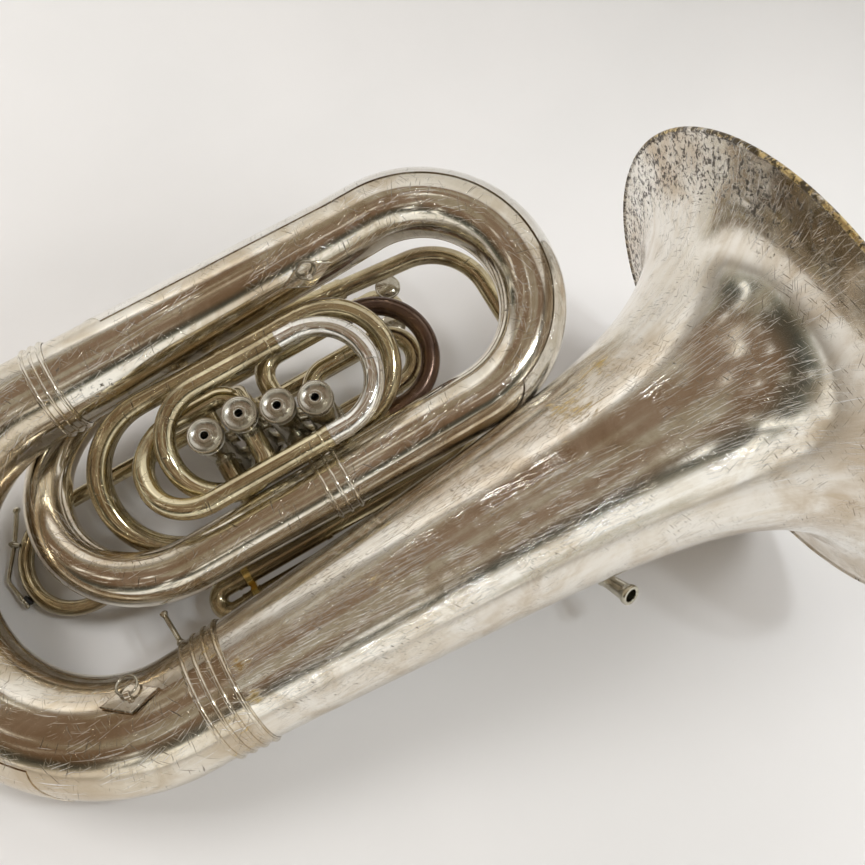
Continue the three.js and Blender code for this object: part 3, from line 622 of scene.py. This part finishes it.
def ferrule(name, x0, x1, y, first, last, beads):
    """A sleeve with rounded beads over the joint of two tubes."""
    def base(x):
        return first + (last - first) * (x - x0) / (x1 - x0) + GAP + 1.0
    profile = [(x0, base(x0) - 0.9), (x0 + 0.4, base(x0))]
    for k in range(beads):
        middle = x0 + 3.4 + k * (x1 - x0 - 6.8) / (beads - 1)
        profile += bead(middle, base(middle), 1.7, 1.9, 8)
    profile += [(x1 - 0.4, base(x1)), (x1, base(x1) - 0.9)]
    turned = [(r, x) for x, r in profile]
    turned += [(base(x1) - 1.1, x1), (base(x0) - 1.1, x0), turned[0]]
    obj = Shell().turned(turned, (0, y, 0), X, 120).piece(
        f"{name}_beaded", *PLATED, [name], 50)
    paint(obj, "worn", lambda point: 0.35)


ferrule("bell_ferrule", 284, 324, 0, 57.1, 60, 4)
ferrule("outer_ferrule", 277, 301, OUTER_Y, 45.3, 44.7, 3)
ferrule("inner_ferrule", 467, 495, INNER_Y, 29, 29.4, 3)

# ---- wide tubes ----
half_bow = OUTER_Y / 2
bottom = route([(291.7, 0, 0), (BOW_X - half_bow, 0, 0), (BOW_X - half_bow, OUTER_Y, 0), (288, OUTER_Y, 0)],
               half_bow, 2.5)
bottom_bow = Shell().tube(bottom, [(0, 57), (-1e-3, 45)], SHEET, 96, hollow=True).piece(
    "bottom_bow_tube", *PLATED, ["bottom_bow"])
outer_branch = Shell().tube(route([(288.4, OUTER_Y, 0), (600.2, 338.5, 0)]), [(0, 44.6), (-1e-3, 36)],
                            SHEET, 96,
                            hollow=True).piece("outer_branch_tube", *PLATED, ["outer_branch"])
top = route([(600.0, 338.5, 0), (748, 343, 0), (748, TOP_INNER, 0), (480.6, INNER_Y, 0)],
            TOP_BEND, 2.5)
top_bow = Shell().tube(top, [(0, 35.8), (-1e-3, 29.2)], SHEET, 80, hollow=True).piece(
    "top_bow_tube", *PLATED, ["top_bow", "top_bow_return"])
inner_path = route([(480.2, INNER_Y, 0), (217, INNER_Y, 0), (217, 338, BRANCH_Z), (330, 338, BRANCH_Z)],
                   115, 2.5)
inner_branch = Shell().tube(inner_path, [(0, 28.9), (-1e-3, 21.5)], SHEET, 72, hollow=True).piece(
    "inner_branch_tube", *PLATED, ["inner_branch", "inner_bow", "inner_bow_return"])
third_path = route([(330.5, 338, BRANCH_Z), (352, 338, BRANCH_Z), (566, 315.6, BRANCH_Z),
                    (588, 313.3, BRANCH_Z)],
                   [120, 0])
socket = third_path[-1][2] - 22.1
Shell().tube(third_path, [(0, 21.4), (socket, TUBE), (socket + 0.2, TUBE + 1.5),
                          *bead(socket + 3, TUBE + 1.5, 0.8, 1.6), *bead(socket + 18, TUBE + 1.5, 0.8, 1.6),
                          (-1e-3, TUBE + 1.5)]).piece(
    "third_branch_tube", *DULL, ["third_branch"])

worn_spots = [((740, 318, 32), 42, 0.62), ((700, 345, 32), 36, 0.45), ((560, 118, 28), 30, 0.3),
              ((140, 40, 50), 45, 0.3), ((120, 130, 52), 40, 0.25)]
dirty_spots = [((300, 330, 46), 50, 0.8), ((330, 300, 30), 50, 0.8), ((250, 330, 40), 40, 0.6),
               ((620, 300, 10), 60, 0.5), ((200, 20, 55), 60, 0.4)]
for obj in (bottom_bow, outer_branch, top_bow, inner_branch):
    paint(obj, "worn", lambda point: spots(point, worn_spots))
    paint(obj, "stained", lambda point: spots(point, dirty_spots))


# ---- guards ----
def ogee(far, start, end, point=26.0):
    """1 along a guard, falling to a point in a double curve at each end."""
    near = min(far - start, end - far) / point
    if near >= 1:
        return 1.0
    near = max(near, 0.0)
    return 0.04 + 0.96 * (0.5 * near ** 0.6 + 0.5 * near ** 3)


bow_total = bottom[-1][2]
first_far = bow_total * 0.22
last_far = bow_total * 0.80
marks = [first_far + 2 * k for k in range(16)] + [last_far - 2 * k for k in range(16)]
cover = [s for s in resampled(bottom, marks, 12)
         if first_far - 1e-6 <= s[2] <= last_far + 1e-6]
Shell().plate(cover, (-0.6, -0.8, 0),
              lambda far: ogee(far, first_far, last_far),
              lambda far: 57 - 12 * far / bow_total + 0.1, 0.9).piece(
    "bottom_bow_guard_plate", *PLATED, ["bottom_bow_guard"], 50)

branch = route([(336, 336.8, 0), (600.9, 338.5, 0), (748, 343, 0), (748, TOP_INNER, 0), (700, 119.8, 0)],
               [0, TOP_BEND, TOP_BEND], 2.5)
branch_total = branch[-1][2]


def branch_radius(far):
    """Outer radius of the outer branch and top bow, by length along their guard."""
    x = far + 336
    return 44.6 + (36 - 44.6) * (x - 288.4) / 311.8 if x < 600.2 else 35.9 - 6.6 * (x - 600.2) / 640


end_far = branch_total - 70
strip = [s for s in resampled(branch, [2 * k for k in range(16)] + [end_far - 2 * k for k in range(16)], 12)
         if s[2] <= end_far + 1e-6]
Shell().plate(strip, Y, lambda far: 0.98 * ogee(far, 0, end_far), lambda far: branch_radius(far) + 0.1,
              0.9).piece(
    "top_bow_guard_plate", "horn", "bright_silver", clean_silver, ["top_bow_guard"], 50)


# ---- narrow tubes ----
def fixed(name, corners, bends, material=dull_brass, slot="dull_brass", nodes=None):
    """A fixed tube with a band at its mouth."""
    profile = [(0, SLEEVE + 0.75), (5.2, SLEEVE + 0.75), (5.6, SLEEVE), *bead(9.5, SLEEVE, 0.7, 1.2),
               (-1e-3, SLEEVE)]
    tube = Shell().tube(route(corners, bends, 4), profile, 0.85, 40)
    tube.piece(f"{name}_tube", "horn", slot, material, [name] if nodes is None else nodes)


def slide(name, body, mouth, y, z, leg, run, way=1, collar=20, material=dull_brass, slot="dull_brass"):
    """A moving slide: two inner legs, a bow and a band at each leg's end."""
    radius = math.hypot(y[1] - y[0], z[1] - z[0]) / 2
    stops = [mouth + way * distance for distance in (-leg, GAP, run + radius)]
    path = route([(x, y[0], z[0]) for x in stops] + [(x, y[1], z[1]) for x in reversed(stops)],
                 [0, radius, radius, 0], 4)
    a, b = leg + GAP, leg + collar
    half = [(0, LEG - 0.3), (0.8, LEG), (a, LEG), (a + 0.05, BAND), (a + 0.3, BAND + 0.35),
            (a + 2.2, BAND + 0.35), (a + 2.5, BAND - 0.1), (b - 3, BAND - 0.1), (b - 2.7, BAND + 0.3),
            (b - 0.4, BAND + 0.3), (b, TUBE)]
    total = path[-1][2]
    profile = half + [(total - far, r) for far, r in reversed(half)]
    bow = Shell().tube(path, profile, 0.8, 44, (0, z[1] - z[0], y[0] - y[1]))
    bow.piece(f"{name}_tube", body, slot, material, [name])


slide("third_slide_bow", "third_slide", 498, (255, 151), (42, 42), 56, 16, material=clean_silver,
      slot="bright_silver")
fixed("third_upper_crook", [(498, 255, 42), (357, 255, 42), (357, 154, 14), (435, 154, 14),
                            (435, 191.7, 14)],
      [53, 50, 21], yellow_brass, "yellow_brass")
fixed("third_lower_crook",
      [(498, 151, 42), (328, 151, 42), (328, 246, 10), (435, 246, 10), (435, 229.3, 10)],
      [48, 48, 16.2], yellow_brass, "worn_silver")
slide("fourth_slide_bow", "fourth_slide", 512, (279, 161), (8, -12), 60, 19, collar=16)
fixed("fourth_lower_tube", [(512, 161, -12), (398, 161, -12), (398, 189.2, -12)], [14], nodes=[])
crook = route([(512, 279, 8), (440, 279, 8), (278, 279, 8), (278, 137, -42), (398, 137, -42),
               (398, 189.2, -42)],
              [0, 75, 75, 22], 4)
crook_long = crook[-1][2]
swell = [(72.2 + (crook_long - 72.2) * k / 24, TUBE + 2.4 * math.sin(math.pi * ease(0, 24,
                                                                                    k))) for k in range(25)]
Shell().tube(crook, [(0, SLEEVE + 0.75), (5.2, SLEEVE + 0.75), (5.6, SLEEVE), (66, SLEEVE),
                     (66.2, SLEEVE + 0.8), (72, SLEEVE + 0.8), *swell[:-1], (-1e-3, TUBE)], 0.7, 44,
                     (0, -20, 118)).piece(
    "fourth_crook_tube", *DULL, ["fourth_crook"])
slide("second_slide_bow", "second_slide", 560, (270, 160), (-30, -36), 46, 17, collar=15,
      material=brown_brass)
fixed("second_upper_tube", [(560, 270, -30), (469, 270, -30), (469, 218.2, -30)], [24], nodes=[])
fixed("second_lower_tube", [(560, 160, -36), (469, 160, -36), (469, 180.6, -36)], [17], nodes=[])
slide("first_slide_bow", "first_slide", 572, (242, 188.4), (-62, -62), 34, 18, collar=14)
fixed("first_upper_tube", [(572, 242, -62), (503, 242, -62), (503, 207.2, -62)], [24], yellow_brass,
      "yellow_brass", [])
fixed("first_lower_tube", [(572, 188.4, -62), (521.8, 188.4, -62)], [], nodes=[])
slide("rear_slide_bow", "rear_slide", 590, (315, 268), (-155, -155), 60, 24, collar=12)
discs = Shell()
for x, y in ((638, 311), (620, 268)):
    discs.turned([(0, 8), (3.4, 8), (3.4, 13.4), (12.8, 16.6), (14.1, 17.2), (14.5, 17.9), (14.3, 18.7),
                  (13.2, 19.2), (12.6, 19.0), (11.8, 19.4), (9, 20.9), (5, 22.0), (0, 22.4)], (x, y, -151),
                 Z, 64)
discs.piece("rear_slide_discs", "rear_slide", "nickel", nickel)
fixed("rear_outer_tube", [(590, 315, -155), (398, 315, -155), (398, 281, -155), (398, 281, -56),
                          (398, 226.8, -56)],
      [16.8, 16.8, 24])
fixed("rear_inner_tube", [(590, 268, -155), (435, 268, -155), (435, 268, -60), (435, 229.3, -60)], [24, 24])
upper = route([(568, 315.4, BRANCH_Z), (722, 301, BRANCH_Z), (722, 158, BRANCH_Z), (600, 95, BRANCH_Z),
               (450, 95, BRANCH_Z), (352, 95, BRANCH_Z)], [66, 60, 60, 0], 4)
start = upper[-1][2] - 98
Shell().tube(upper, [(0, TUBE), (start, TUBE), (start + 0.1, SLEEVE), (start + 0.6, SLEEVE + 0.7),
                     (start + 7, SLEEVE + 0.7), (start + 7.4, SLEEVE), (-1e-3, SLEEVE)], 0.85, 44).piece(
    "upper_crook_tube", *DULL, ["upper_crook"])
slide("main_slide_bow", "main_slide", 352, (95, 69), (BRANCH_Z, BRANCH_Z), 75, 21, -1, 10)
fixed("main_slide_tube",
      [(352, 69, -74), (444, 69, -74), (489, 69, -96), (503, 88, -96), (503, 132, -96), (503, 150, -84),
       (503, 169.6, -84)], [12, 12, 12, 10, 10])

# ---- clamp ----
clamp = Shell()
CLAMP_X = 356.2
for y in (95, 69):
    clamp.turned([(SLEEVE + 0.2, 0), (SLEEVE + 2.2, 0), (SLEEVE + 2.6, 0.4), (SLEEVE + 2.6, 6.8),
                  (SLEEVE + 2.2, 7.2), (SLEEVE + 0.2, 7.2), (SLEEVE + 0.2, 0)], (352.6, y, BRANCH_Z), X, 64)
for low, high in ((81.6, 82.4), (49, 57), (107, 110)):
    clamp.rod((CLAMP_X, low, BRANCH_Z), (CLAMP_X, high, BRANCH_Z), 3.4)
for y in (51, 110):
    clamp.turned([(0, -3.6), (3, -3.2), (4, -1.6), (4, 1.6), (3, 3.2), (0, 3.6)],
                 (355.3, y - 0.6, BRANCH_Z), X, 32)
clamp.piece("main_slide_clamp_bands", "horn", "yellow_brass", bright_brass, ["main_slide_clamp"])

# ---- valves ----
PORTS = {                         # where tubes enter: (way x, way y, z, outer radius)
    "valve_4": [(0, -1, -12, TUBE), (0, -1, -42, TUBE), (0, 1, -56, TUBE), (0, 1, -84, 8.6)],
    "valve_3": [(0, -1, 14, TUBE), (0, 1, 10, TUBE), (0, 1, -60, TUBE)],
    "valve_2": [(0, 1, -30, TUBE), (0, -1, -36, TUBE)],
    "valve_1": [(0, 1, -62, TUBE), (1, 0, -62, TUBE), (0, -1, -84, TUBE)],
}
order = list(VALVES)
for i, name in enumerate(order):
    x, y = VALVES[name]
    body = Shell().turned([(12.9, -101), (CASE, -101), (CASE, -92), (CASE + 0.2, -91.6), (CASE + 0.2, 31.4),
                           (CASE, 32), (CASE, 40.6), (12.9, 40.6), (12.9, -101)], (x, y, 0), Z, 64)
    for dx, dy, z, radius in PORTS[name]:
        body.turned([(radius - 1, 12.6), (radius + 0.9, 12.6), (radius + 0.9, 16.6), (radius, 17.2),
                     (radius, 18.5), (radius - 1, 18.5), (radius - 1, 12.6)], (x, y, z), (dx, dy, 0), 40)
    if i + 1 < len(order):
        nx, ny = VALVES[order[i + 1]]
        way = Vector((nx - x, ny - y, 0)).normalized()
        for z in (-6, -84):
            body.turned([(8, 13.9), (7, 17), (7, 19), (8, 21.6), (0, 21.6), (0, 13.9)], (x, y, z), way, 40)
    body.piece(f"{name}_case", *NICKEL, [f"{name}_casing"])

    cap = [(15.5, 36.2), (16.2, 36), (CAP, 36.5), (CAP, 38), (16.55, 38.3), (16.55, 38.8), (CAP, 39.1),
           (CAP, 45.6), (16.7, 46.6), (16.2, 47.2), (15.4, 47.3), (14.8, 46.9), (14.3, 46.1), (13.6, 45.4),
           (8.4, 43.0), (7.7, 43.1), (7.3, 43.9), (7.1, 47.0), (6.8, 47.9), (6.1, 48.2), (4.8, 48.2),
           (4.1, 47.9), (3.7, 47.2), (3.7, 41), (15.5, 41), (15.5, 36.2)]
    Shell().turned(cap, (x, y, 0), Z, 72).piece(f"{name}_lower_cap", *SATIN,
                                                [f"{name}_bottom_cap"], 40)
    Shell().turned([(4.4, -110), (7.4, -110), (8, -109.6), (15.9, -105.9), (16.6, -105), (CAP, -104),
                    (CAP, -98.5), (16.6, -97.4), (CAP, -97.0), (16.6, -96), (15.5, -96), (15.5, -101.4),
                    (4.4, -101.4), (4.4, -110)],
                   (x, y, 0), Z, 72).piece(f"{name}_upper_cap", *SATIN, [f"{name}_top_cap"], 40)
    Shell().turned([(0, -143.6), (6, -143.9), (9.4, -143.7), (11.4, -142.8), (12, -141.4), (12, -139.8),
                    (11.6, -139), (4, -137.6), (3.4, -136.8), (3.4, -94), (11.9, -94), (12.3, -93.6),
                    (12.3, 1.6), (11.9, 2), (0, 2)],
                   (x, y, 0), Z, 64).piece(f"{name}_plunger", f"piston_{name[-1]}", "nickel", satin_nickel,
                                          [f"{name}_piston"], 40)
    spring = frame["nodes"][f"{name}_spring"]
    spring.data.materials.clear()
    spring.data.materials.append(steel)

# ---- leadpipe and receiver ----
lead = route([(668, -88, -96), (655, -52, -125), (618, 60, -122), (560, 145, -118), (440, 145, -118),
              (278, 145, -62), (162, 145, -62), (162, 257, -84), (398, 257, -84), (398, 226.8, -84)],
             [24, 60, 50, 60, 60, 56, 56, 20], 4)
Shell().tube(lead, [(0, 6.6), (-1e-3, 8.6)], 0.9, 40).piece("leadpipe_tube", *DULL, ["leadpipe"])
foot, mouth = Vector(lead[0][0]), Vector((679, -118, -72))
length = (mouth - foot).length
Shell().turned([(5.6, GAP), (8.0, GAP), (8.6, 0.9), (8.8, 2.0), (8.6, 3.4), (7.7, 4.6), (7.6, 7.5),
                (7.9, 8.2), (7.9, 9.4), (7.6, 10), (8.1, 18), (9.0, length - 10), (9.2, length - 8),
                (10.7, length - 5.4), (11, length - 4.6), (11, length - 0.7), (10.5, length), (7.6, length),
                (7.1, length - 0.5), (5.6, 8), (5.6, GAP)],
               foot, mouth - foot, 64).piece("receiver", *NICKEL, ["mouthpiece_receiver"], 40)

# ---- water key ----
hinge = Vector(crook_at(KEY_HINGE, HINGE_REACH))
arm = route([crook_at(KEY_PAD + 5, 15.4), crook_at(KEY_PAD - 4, 15.4), crook_at(172, 21), tuple(hinge),
             crook_at(126, 24), crook_at(119, 31)], [5, 12, 12, 6], 8)
key = Shell().tube(arm, [(0, 1.6), (1.2, 2.7), (14, 2.5), (40, 2.1), (-6.0, 2.7), (-1e-3, 1.6)], 0.5, 24)
key.turned([(1.5, -4.4), (3.2, -4.4), (3.6, -4.0), (3.6, -2.6), (3.1, -2.2), (3.1, 2.2), (3.6, 2.6),
            (3.6, 4.0), (3.2, 4.4), (1.5, 4.4), (1.5, -4.4)], hinge, Z, 32)
pad, back = Vector(crook_at(KEY_PAD, 12.4)), Vector(crook_at(KEY_PAD, 16.4))
key.turned([(0, 0), (4.2, 0), (4.5, 0.4), (4.5, 2.6), (4.0, 3.4), (2.4, 4.0), (0, 4.0)], pad, back - pad,
           32)
near, tip = Vector(crook_at(119, 28.4)), Vector(crook_at(119, 34))
key.turned([(0, 0), (2.6, 0.4), (4.2, 1.6), (4.4, 2.8), (4.2, 4.0), (2.6, 5.2), (0, 5.6)], near, tip - near,
           32)
key.piece("water_key_arm", "water_key_lever", "nickel", nickel, ["water_key"], 40)
low = Vector(crook_at(KEY_PAD, 9.2))
Shell().turned([(0, 0), (5.0, 0), (5.5, 0.4), (5.5, 2.5), (5.1, 2.9), (0, 2.9)], low, pad - low, 32).piece(
    "water_key_cork", "water_key_lever", "rubber", rubber_black, ["water_key_tip"], 40)
saddle = Shell().rod(hinge + Vector((0, 0, -8.4)), hinge + Vector((0, 0, 8.4)), 1.3)
saddle.turned([(0, 0), (2, 0), (2.2, 0.4), (2.2, 1.2), (0, 1.6)], hinge + Vector((0, 0, 8.2)), Z, 24)
for lift in (-6.6, 6.6):
    up = Vector((0, 0, lift))
    saddle.rod(Vector(crook_at(KEY_HINGE, 6)) + up, Vector(crook_at(KEY_HINGE, HINGE_REACH + 2)) + up, 1.8)
saddle.rod(Vector(crook_at(KEY_HINGE, 9.6)) - Vector((0, 0, 7.8)),
           Vector(crook_at(KEY_HINGE, 9.6)) + Vector((0, 0, 7.8)), 1.7)
saddle.piece("water_key_saddle_posts", *NICKEL, ["water_key_saddle"], 40)


# ---- straps ----
def strap(name, centre, heading, radius, lean):
    """A diamond plate with an eye, and the wire ring that hangs in it."""
    u = Vector(heading).normalized()
    out = Vector((0, math.sin(lean), math.cos(lean)))
    out = (out - u * out.dot(u)).normalized()
    w = out.cross(u)
    place = Matrix((u, w, out)).transposed().to_4x4()
    place.translation = Vector(centre) + out * radius
    half, wide, waist = 27, 15, 7.7
    outline = [(-half, 0), (-half / 2, -waist), (0, -wide), (half / 2, -waist),
               (half, 0), (half / 2, waist), (0, wide), (-half / 2, waist)]
    plate = Shell()
    loops = []
    for scale, height in ((0.0, -1.2), (1.0, -1.2), (1.0, 1.4), (0.955, 2.0), (0.93, 2.0), (0.9, 1.7),
                          (0.0, 1.9)):
        loops.append([place @ Vector((x * max(scale, 0.001), y * max(scale, 0.001),
                                      height - (0.9 * (y * scale / wide) ** 2))) for x, y in outline])
    plate.rings(loops, [0, 20, 22, 23, 24, 25, 45], 120)
    spot = place @ Vector((-2.4, 0, 6.2))
    plate.turned([(2.2, 0), (3.3, 0), (3.6, 0.4), (3.6, 4.4), (3.3, 4.8), (2.2, 4.8), (2.2, 0)], spot, u,
                 32)
    for k in (-1, 1):
        plate.rod(place @ Vector((0, 2.0 * k, 1.2)), place @ Vector((0, 1.6 * k, 4.4)), 1.6)
    plate.piece(f"{name}_diamond", *PLATED, [f"{name}_plate"], 30)
    hung = place @ Matrix.Translation((0, 9.4, 6.2))
    Shell().ring(9.4, 1.3, hung).piece(f"{name}_wire_ring", name.replace("_strap", "_ring"), "nickel",
                                       nickel,
                                       [f"{name}_ring"])


turn = math.radians(258)
strap("lower_strap", (BOW_X + half_bow * math.cos(turn), half_bow + half_bow * math.sin(turn), 0),
      (-math.sin(turn), math.cos(turn), 0), 58.9, 0.55)
strap("upper_strap", (556, 338.2, 0), X, 38.4, -0.95)


# ---- brace ----
stay, stay_end = Vector((283, 59.5, -4)), Vector((278.4, 94, -15))
stay_length = (stay_end - stay).length
stay_foot = [(0, 0), (4, 0), (4, 1.2), (3.4, 2.2), (2.8, 3.6), (2.5, 5.0)]
stay_profile = stay_foot + [(r, stay_length - h) for r, h in reversed(stay_foot)]
Shell().turned(stay_profile, stay, stay_end - stay, 36).piece(
    "bow_brace_stay", *NICKEL, ["bow_brace"], 40)

# ---- floor, light and camera ----
bpy.context.scene.view_settings.view_transform = "Standard"
EYE = HORN @ Vector((497.7, -58.1, 909.4))
RIGHT = (TURN @ Vector((0.8644, -0.5026, -0.0126))).normalized()
AHEAD = (TURN @ Vector((0.0932, 0.1847, -0.9784))).normalized()
ABOVE = RIGHT.cross(AHEAD).normalized()

camera_data = bpy.data.cameras.new("camera")
camera_data.lens, camera_data.sensor_width = 40.16, 36.0
camera_data.clip_start, camera_data.clip_end = 0.05, 30.0
camera = bpy.data.objects.new("camera", camera_data)
camera.matrix_world = Matrix.Translation(EYE) @ Matrix((RIGHT, ABOVE, -AHEAD)).transposed().to_4x4()
link(camera)
bpy.context.scene.camera = camera


def sweep():
    """White paper that lies flat and curves up behind the horn."""
    back = Vector((AHEAD.x, AHEAD.y, 0)).normalized()
    side = Vector((back.y, -back.x, 0))
    front, foot, bend, wall = -9.0, 0.62, 0.25, 2.5
    rows = [(front, 0.0), (foot, 0.0)]
    for t in [math.radians(9 * k) for k in range(1, 10)]:
        rows.append((foot + bend * math.sin(t), bend - bend * math.cos(t)))
    rows += [(foot + bend + 0.1, bend + wall)]
    points, faces = [], []
    for far, up in rows:
        for k in (-9.0, 9.0):
            points.append(back * far + side * k + Vector((0, 0, up)))
    for i in range(len(rows) - 1):
        faces.append((2 * i, 2 * i + 1, 2 * i + 3, 2 * i + 2))
    mesh = bpy.data.meshes.new("paper_sweep")
    mesh.from_pydata(points, [], faces)
    mesh.polygons.foreach_set("use_smooth", [True] * len(faces))
    obj = bpy.data.objects.new("paper_sweep", mesh)
    link(obj)
    mesh.materials.append(paper("white_paper", (0.80, 0.79, 0.785), (0.76, 0.755, 0.75)))


sweep()


def lamp(name, at, target, size, power, tone, shows):
    """An area lamp; `shows` lets the metal mirror it."""
    data = bpy.data.lights.new(name, "AREA")
    data.shape = "RECTANGLE"
    data.size, data.size_y = size
    data.energy = power
    data.color = tone
    obj = bpy.data.objects.new(name, data)
    at = Vector(at)
    obj.matrix_world = Matrix.Translation(at) @ (Vector(target) - at).to_track_quat("-Z",
                                                                                    "Y").to_matrix().to_4x4()
    obj.visible_glossy = shows
    link(obj)


lamp("key_left", (-1.5, 1.3, 2.1), (0, 0, 0.1), (1.3, 0.9), 36, (1.0, 0.99, 0.97), False)
lamp("fill_right", (1.9, -1.5, 1.7), (0, 0, 0.1), (1.2, 0.8), 30, (0.98, 0.99, 1.0), False)
lamp("window_one", (0.55, -0.75, 2.3), (0.3, 0, 0.2), (0.10, 0.22), 5, (0.9, 0.96, 1.0), True)
lamp("window_two", (0.80, -0.75, 2.3), (0.3, 0, 0.2), (0.10, 0.22), 5, (0.9, 0.96, 1.0), True)


def room():
    """A pale room with a warm dark ceiling over the camera, seen in the metal."""
    world = bpy.data.worlds.new("room")
    bpy.context.scene.world = world
    world.use_nodes = True
    tree = world.node_tree
    tree.nodes.clear()
    coord = tree.nodes.new("ShaderNodeTexCoord").outputs["Generated"]

    def noise(scale, detail):
        node = tree.nodes.new("ShaderNodeTexNoise")
        node.inputs["Scale"].default_value, node.inputs["Detail"].default_value = scale, detail
        tree.links.new(coord, node.inputs["Vector"])
        return node.outputs["Fac"]

    def blend(share, low, high, most, below, tone):
        """Lays a tone over what is below where the share lies above low to high."""
        step = tree.nodes.new("ShaderNodeMapRange")
        step.interpolation_type = "SMOOTHSTEP"
        tree.links.new(share, step.inputs["Value"])
        step.inputs["From Min"].default_value, step.inputs["From Max"].default_value = low, high
        step.inputs["To Min"].default_value, step.inputs["To Max"].default_value = 0.0, most
        mix = tree.nodes.new("ShaderNodeMix")
        mix.data_type = "RGBA"
        tree.links.new(step.outputs["Result"], mix.inputs["Factor"])
        tree.links.new(below, mix.inputs["A"])
        mix.inputs["B"].default_value = (*tone, 1)
        return mix.outputs["Result"]

    wave = noise(2.2, 3.0)
    toward = tree.nodes.new("ShaderNodeVectorMath")
    toward.operation = "DOT_PRODUCT"
    tree.links.new(coord, toward.inputs[0])
    toward.inputs[1].default_value = (ABOVE * 0.45 - RIGHT * 0.3 - AHEAD).normalized()
    bend = tree.nodes.new("ShaderNodeMath")
    bend.operation = "MULTIPLY_ADD"
    tree.links.new(wave, bend.inputs[0])
    bend.inputs[1].default_value = 0.26
    tree.links.new(toward.outputs["Value"], bend.inputs[2])
    ramp = tree.nodes.new("ShaderNodeValToRGB")
    tree.links.new(bend.outputs["Value"], ramp.inputs["Fac"])
    stops = [(0.0, (1.0, 0.99, 0.97)), (0.45, (1.0, 0.985, 0.95)), (0.53, (0.26, 0.25, 0.20)),
             (0.62, (0.06, 0.065, 0.055)), (0.74, (0.085, 0.07, 0.05)), (0.86, (0.18, 0.115, 0.07)),
             (1.0, (0.23, 0.16, 0.11))]
    ends = ramp.color_ramp.elements
    for end, (position, tone) in zip((ends[0], ends[1]), (stops[0], stops[-1])):
        end.position, end.color = position, (*tone, 1)
    for position, tone in stops[1:-1]:
        ends.new(position).color = (*tone, 1)
    lit = blend(noise(3.4, 2.0), 0.55, 0.63, 0.75, ramp.outputs["Color"], (0.40, 0.37, 0.29))
    lit = blend(noise(6.5, 1.0), 0.62, 0.68, 1.0, lit, (1.3, 1.27, 1.18))
    shade = tree.nodes.new("ShaderNodeBackground")
    tree.links.new(lit, shade.inputs["Color"])
    out = tree.nodes.new("ShaderNodeOutputWorld")
    tree.links.new(shade.outputs["Background"], out.inputs["Surface"])


room()
